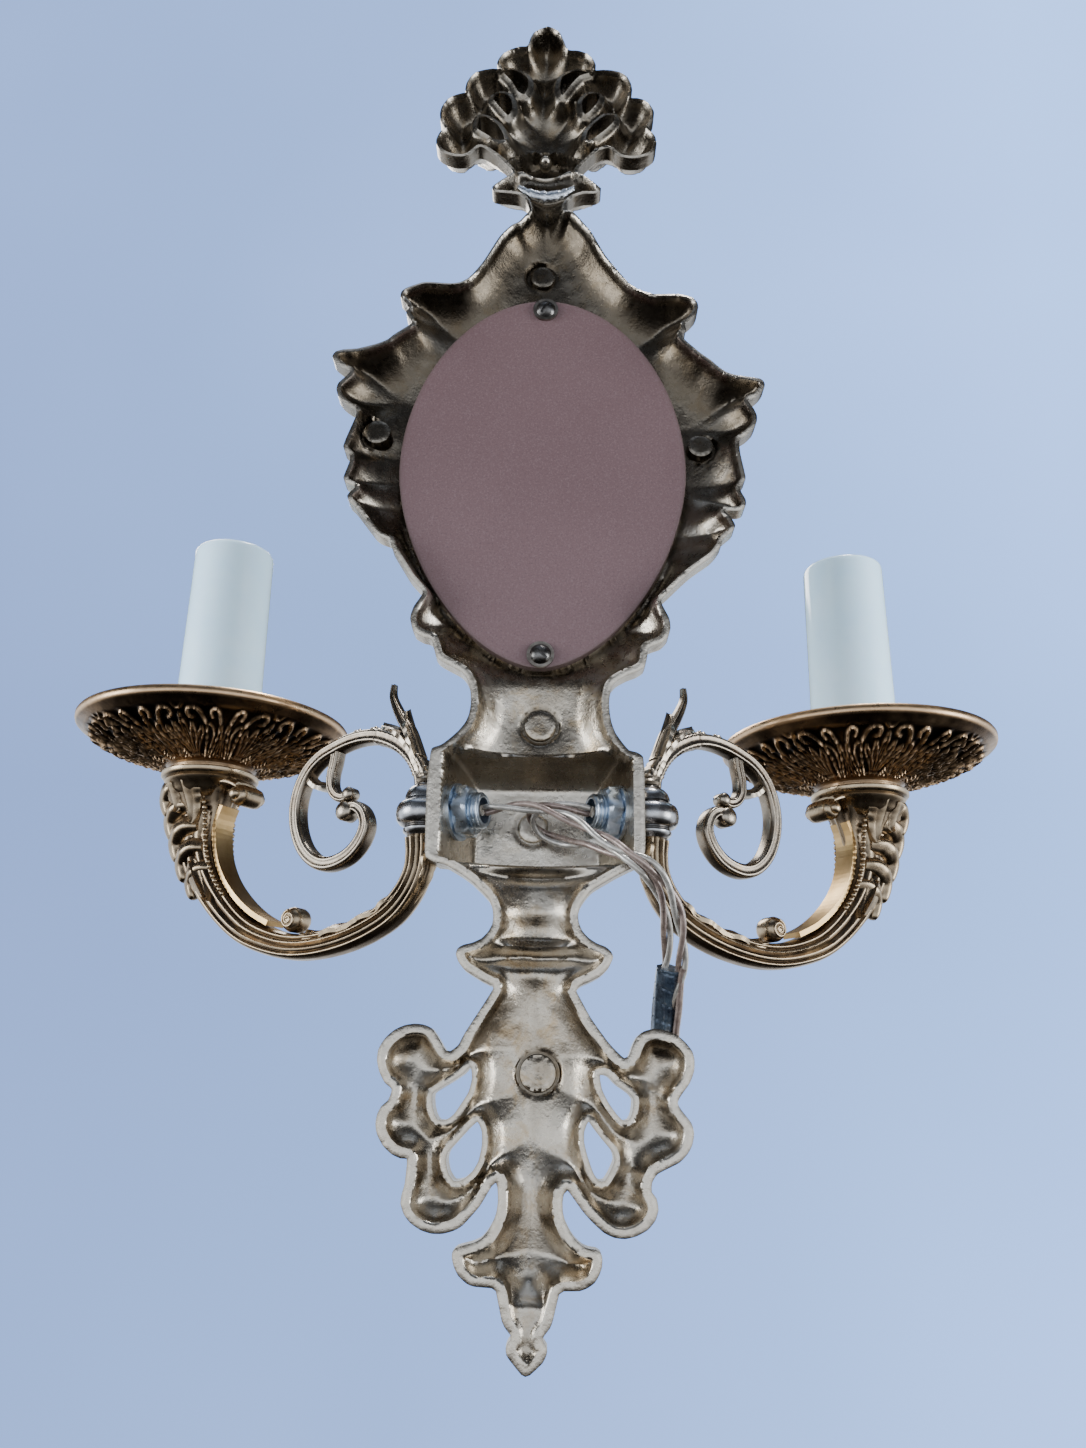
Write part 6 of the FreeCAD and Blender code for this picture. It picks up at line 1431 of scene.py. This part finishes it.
# ---------------------------------------------------------------------------
# flexes: route splines in the CAD's own points, twisted pairs along them
# ---------------------------------------------------------------------------
def flex(side, route):
    cu = bpy.data.curves.new(side + "_flex_line", "CURVE")
    cu.dimensions = "3D"
    sp = cu.splines.new("NURBS")
    sp.points.add(len(route) - 1)
    for p, q in zip(sp.points, route):
        p.co = (q[0] * MM, q[1] * MM, q[2] * MM, 1.0)
    sp.order_u = 3
    sp.use_endpoint_u = True
    sp.resolution_u = 14
    tmp = link(bpy.data.objects.new(side + "_flex_tmp", cu))
    me = bpy.data.meshes.new_from_object(tmp)
    line = np.array([tuple(v.co) for v in me.vertices])
    bpy.data.meshes.remove(me)
    bpy.data.objects.remove(tmp)
    bpy.data.curves.remove(cu)
    seg = np.linalg.norm(np.diff(line, axis=0), axis=1)
    acc = np.concatenate([[0], np.cumsum(seg)])
    n_ = 150
    q = np.linspace(0, acc[-1], n_)
    C = np.column_stack([np.interp(q, acc, line[:, k]) for k in range(3)])
    T = np.gradient(C, axis=0)
    T /= np.linalg.norm(T, axis=1)[:, None]
    u = unit(np.cross(T[0], [0, 0, 1.0]))
    S = [[], []]
    for i in range(n_):
        u = unit(u - T[i] * np.dot(u, T[i]))
        w = np.cross(T[i], u)
        a = 2 * math.pi * q[i] / ((34.0 if side == "left" else 27.0) * MM) + (0.9 if side == "left" else 2.0)
        for k in (0, 1):
            b = a + math.pi * k
            S[k].append(C[i] + (u * math.cos(b) + w * math.sin(b)) * 0.86 * MM)
    bd = Build()
    mats = []
    for k in (0, 1):
        v, f = tube_along(np.array(S[k]) / MM, 0.84, 12)
        n0 = len(bd.f)
        bd.add(v, f)
        mats += [k] * (len(bd.f) - n0)
    ob = bd.obj(side + "_flex_pair", M_COPPER)
    ob.data.materials.append(M_CLEAR)
    for poly, k in zip(ob.data.polygons, mats):
        poly.material_index = k
    return ob, acc[-1], C


fr_ob, fr_len, fr_path = flex("right", FLEX_RIGHT)
fl_ob, fl_len, fl_path = flex("left", FLEX_LEFT)
print("flex lengths mm", fr_len / MM, fl_len / MM)


def tape():
    bd = Build()
    L = catmull([(-36.0, -9.2, -40.6), (-35.5, -11.2, -45.0), (-34.9, -13.4, -50.0), (-34.6, -15.4, -55.4), (-34.7, -17.2, -60.6)], 14)
    T = np.gradient(L, axis=0)
    rings = []
    m = 40
    for i in range(len(L)):
        t = unit(T[i])
        u = np.array([0.81, -0.59, 0.0])
        u = unit(u - t * np.dot(u, t))
        w = np.cross(t, u)
        e = i / (len(L) - 1)
        sc = 1.0 - 0.10 * e - 0.22 * sstep((e - 0.86) / 0.14)
        ring = []
        for k in range(m):
            a = 2 * math.pi * k / m
            wrap = ((e * 5.2 + k / m) % 1.0)
            lay = 0.26 * sstep(wrap / 0.12) - 0.10 * math.sin(9 * a + 5 * e)
            rx = 3.2 * sc + lay
            ry = (2.6 + 0.25 * math.sin(3 * e * math.pi)) * sc + lay
            ring.append(L[i] + u * 1.0 + u * rx * math.copysign(abs(math.cos(a)) ** 0.85, math.cos(a)) + w * ry * math.copysign(abs(math.sin(a)) ** 0.85, math.sin(a)))
        rings.append(np.array(ring))
    v, f = loft(rings)
    bd.add(v, f)
    nt_ = len(bd.f)
    for off, r_, dy in ((-3.15, 0.95, 0.9), (-3.3, 0.8, -0.6)):
        Lw = np.array([L[i] + np.array([0.81, -0.59, 0.0]) * (off + 0.25 * math.sin(i * 0.16)) + np.array([0.2, dy, 0.0]) for i in range(len(L) - 3)])
        v, f = tube_along(Lw, r_, 10)
        bd.add(v, f)
    ob = bd.obj("splice_tape", M_TAPE, 35)
    ob.data.materials.append(M_COPPER)
    for poly in list(ob.data.polygons)[nt_:]:
        poly.material_index = 1
    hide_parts("tape_splice")
    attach(ob, "fixture")
    return ob


tape_ob = tape()
for ob, side_, ln, path in ((fr_ob, "right", fr_len, fr_path), (fl_ob, "left", fl_len, fl_path)):
    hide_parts(side_ + "_flex")
    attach(ob, "fixture")
    [tuple(map(float, p)) for p in path]


# ---------------------------------------------------------------------------
# stage, light and camera
# ---------------------------------------------------------------------------
def stage():
    m = bpy.data.materials.new("backdrop")
    m.use_nodes = True
    nt = m.node_tree
    nt.nodes.clear()
    out0 = nt.nodes.new("ShaderNodeOutputMaterial")
    em = nt.nodes.new("ShaderNodeEmission")
    n = N(nt)
    co = nt.nodes.new("ShaderNodeTexCoord").outputs["Object"]
    sp0 = nt.nodes.new("ShaderNodeSeparateXYZ")
    nt.links.new(co, sp0.inputs[0])
    # the backdrop glows with painted uneven light: graded left to right, mottled, and dimmer around 0.35 m height
    side = n.ramp(n.math("ADD", n.math("MULTIPLY", sp0.outputs["X"], -0.42), 0.5), [(0.0, (0.17, 0.26, 0.53)), (0.42, (0.195, 0.312, 0.625)), (0.60, (0.235, 0.385, 0.77)), (0.85, (0.285, 0.485, 0.985))])
    nz = nt.nodes.new("ShaderNodeTexNoise")
    nz.inputs["Scale"].default_value = 1.3
    nt.links.new(co, nz.inputs["Vector"])
    soft = n.ramp(nz.outputs["Fac"], [(0.35, (0.93, 0.93, 0.94)), (0.65, (1.0, 1.0, 1.0))])
    lowm = n.math("SUBTRACT", 1.0, n.math("MULTIPLY", n.ramp(n.math("MULTIPLY", n.math("ABSOLUTE", n.math("ADD", sp0.outputs["Z"], -0.35)), 1.0), [(0.0, 1.0), (0.9, 0.0)]), 0.16))
    mm_ = nt.nodes.new("ShaderNodeMixRGB")
    mm_.blend_type = "MULTIPLY"
    mm_.inputs[0].default_value = 1.0
    nt.links.new(side, mm_.inputs[1])
    nt.links.new(soft, mm_.inputs[2])
    nt.links.new(mm_.outputs[0], em.inputs["Color"])
    nt.links.new(n.math("MULTIPLY", lowm, 2.5), em.inputs["Strength"])
    nt.links.new(em.outputs[0], out0.inputs["Surface"])
    S = 4.0
    y = -1.3
    me = bpy.data.meshes.new("backdrop")
    me.from_pydata([(-S, y, -S), (S, y, -S), (S, y, S), (-S, y, S)], [], [(3, 2, 1, 0)])
    me.materials.append(m)
    ob = link(bpy.data.objects.new("backdrop", me))
    ob.visible_glossy = False
    ob.visible_diffuse = False
    fm = bpy.data.materials.new("floor_pale")
    fm.use_nodes = True
    fb = [q for q in fm.node_tree.nodes if q.type == "BSDF_PRINCIPLED"][0]
    fb.inputs["Base Color"].default_value = (0.82, 0.82, 0.80, 1.0)
    fb.inputs["Roughness"].default_value = 0.85
    fme = bpy.data.meshes.new("floor")
    fme.from_pydata([(-S, -S, -0.6), (S, -S, -0.6), (S, S, -0.6), (-S, S, -0.6)], [], [(0, 1, 2, 3)])
    fme.materials.append(fm)
    fl = link(bpy.data.objects.new("floor", fme))
    fl.visible_glossy = False
    fl.visible_diffuse = False
    fl.visible_shadow = False
    sc = bpy.context.scene
    w = bpy.data.worlds.new("world") if sc.world is None else sc.world
    sc.world = w
    w.use_nodes = True
    wn = w.node_tree
    wn.nodes.clear()
    out = wn.nodes.new("ShaderNodeOutputWorld")
    bg = wn.nodes.new("ShaderNodeBackground")
    tc = wn.nodes.new("ShaderNodeTexCoord")
    sep = wn.nodes.new("ShaderNodeSeparateXYZ")
    wn.links.new(tc.outputs["Generated"], sep.inputs[0])
    rp = wn.nodes.new("ShaderNodeValToRGB")
    mp = wn.nodes.new("ShaderNodeMapRange")
    mp.inputs["From Min"].default_value, mp.inputs["From Max"].default_value = -1.0, 1.0
    wn.links.new(sep.outputs["Z"], mp.inputs["Value"])
    wn.links.new(mp.outputs[0], rp.inputs["Fac"])
    e = rp.color_ramp.elements
    stops = [(0.0, (0.010, 0.009, 0.008)), (0.22, (0.035, 0.030, 0.026)), (0.31, (0.75, 0.76, 0.78)), (0.40, (1.55, 1.66, 1.80)), (0.58, (1.50, 1.66, 1.88)), (0.655, (0.26, 0.27, 0.30)),
             (0.72, (0.060, 0.062, 0.07)), (0.90, (0.050, 0.055, 0.065)), (0.955, (0.55, 0.66, 0.84)), (1.0, (1.1, 1.25, 1.5))]
    e[0].position, e[1].position = stops[0][0], stops[-1][0]
    e[0].color, e[1].color = stops[0][1] + (1,), stops[-1][1] + (1,)
    for p_, c_ in stops[1:-1]:
        q_ = e.new(p_)
        q_.color = c_ + (1,)
    wz = wn.nodes.new("ShaderNodeTexNoise")
    wz.inputs["Scale"].default_value = 2.6
    wz.inputs["Detail"].default_value = 2.0
    wn.links.new(tc.outputs["Generated"], wz.inputs["Vector"])
    wr = wn.nodes.new("ShaderNodeValToRGB")
    wr.color_ramp.elements[0].position, wr.color_ramp.elements[1].position = 0.38, 0.62
    wr.color_ramp.elements[0].color, wr.color_ramp.elements[1].color = (0.62, 0.62, 0.63, 1), (1.15, 1.15, 1.15, 1)
    wn.links.new(wz.outputs["Fac"], wr.inputs["Fac"])
    wm = wn.nodes.new("ShaderNodeMixRGB")
    wm.blend_type = "MULTIPLY"
    wm.inputs[0].default_value = 1.0
    wn.links.new(rp.outputs["Color"], wm.inputs[1])
    wn.links.new(wr.outputs["Color"], wm.inputs[2])
    lp = wn.nodes.new("ShaderNodeLightPath")
    pl = wn.nodes.new("ShaderNodeMixRGB")
    pl.inputs[2].default_value = (0.56, 0.80, 1.30, 1.0)
    wn.links.new(lp.outputs["Is Camera Ray"], pl.inputs[0])
    wn.links.new(wm.outputs[0], pl.inputs[1])
    wn.links.new(pl.outputs[0], bg.inputs["Color"])
    bg.inputs["Strength"].default_value = 1.0
    wn.links.new(bg.outputs[0], out.inputs[0])

    def area(name, loc, target, size, energy, color):
        L = bpy.data.lights.new(name, "AREA")
        L.size = size
        L.energy = energy
        L.color = color
        o = link(bpy.data.objects.new(name, L))
        o.location = loc
        o.rotation_euler = (Vector(target) - Vector(loc)).to_track_quat("-Z", "Y").to_euler()
        return o
    area("key", (-0.30, -0.10, 1.50), (0, 0, 0.05), 0.35, 20.0, (1.0, 0.99, 0.98))
    area("fill_left", (1.05, 0.30, 0.15), (0, 0, 0.05), 0.45, 5.0, (0.92, 0.96, 1.0))
    area("fill_right", (-1.05, 0.35, 0.0), (0, 0, 0.05), 0.45, 5.0, (0.92, 0.96, 1.0))
    area("front_key", (0.5, -0.95, 0.9), (0, 0, 0.05), 0.6, 9.0, (1.0, 0.985, 0.96))
    for nm_, sx_ in (("soft_left", 1.0), ("soft_right", -1.0)):
        so = area(nm_, (1.05 * sx_, 0.28, 0.20), (0, 0, 0.03), 0.6, 20.0, (0.80, 0.91, 1.0))
        so.visible_glossy = False


stage()


def camera():
    az, el, roll = math.radians(-0.34), math.radians(-18.2), math.radians(0.84)
    T = Vector((-1.26 * MM, 0.0, 23.0 * MM))
    dv = Vector((math.sin(az) * math.cos(el), math.cos(az) * math.cos(el), math.sin(el)))
    C = T + dv * 0.300
    f = (-dv).normalized()
    right = f.cross(Vector((0, 0, 1))).normalized()
    up = right.cross(f).normalized()
    r2 = right * math.cos(roll) + up * math.sin(roll)
    u2 = -right * math.sin(roll) + up * math.cos(roll)
    cam = bpy.data.cameras.new("camera")
    cam.sensor_fit = "AUTO"
    cam.sensor_width = 36.0
    cam.lens = 36.0 * 1110.0 / 1448.0
    cam.clip_start = 0.01
    cam.clip_end = 20.0
    ob = link(bpy.data.objects.new("camera", cam))
    from mathutils import Matrix
    M = Matrix(((r2.x, u2.x, -f.x, C.x), (r2.y, u2.y, -f.y, C.y), (r2.z, u2.z, -f.z, C.z), (0, 0, 0, 1)))
    ob.matrix_world = M
    bpy.context.scene.camera = ob


camera()
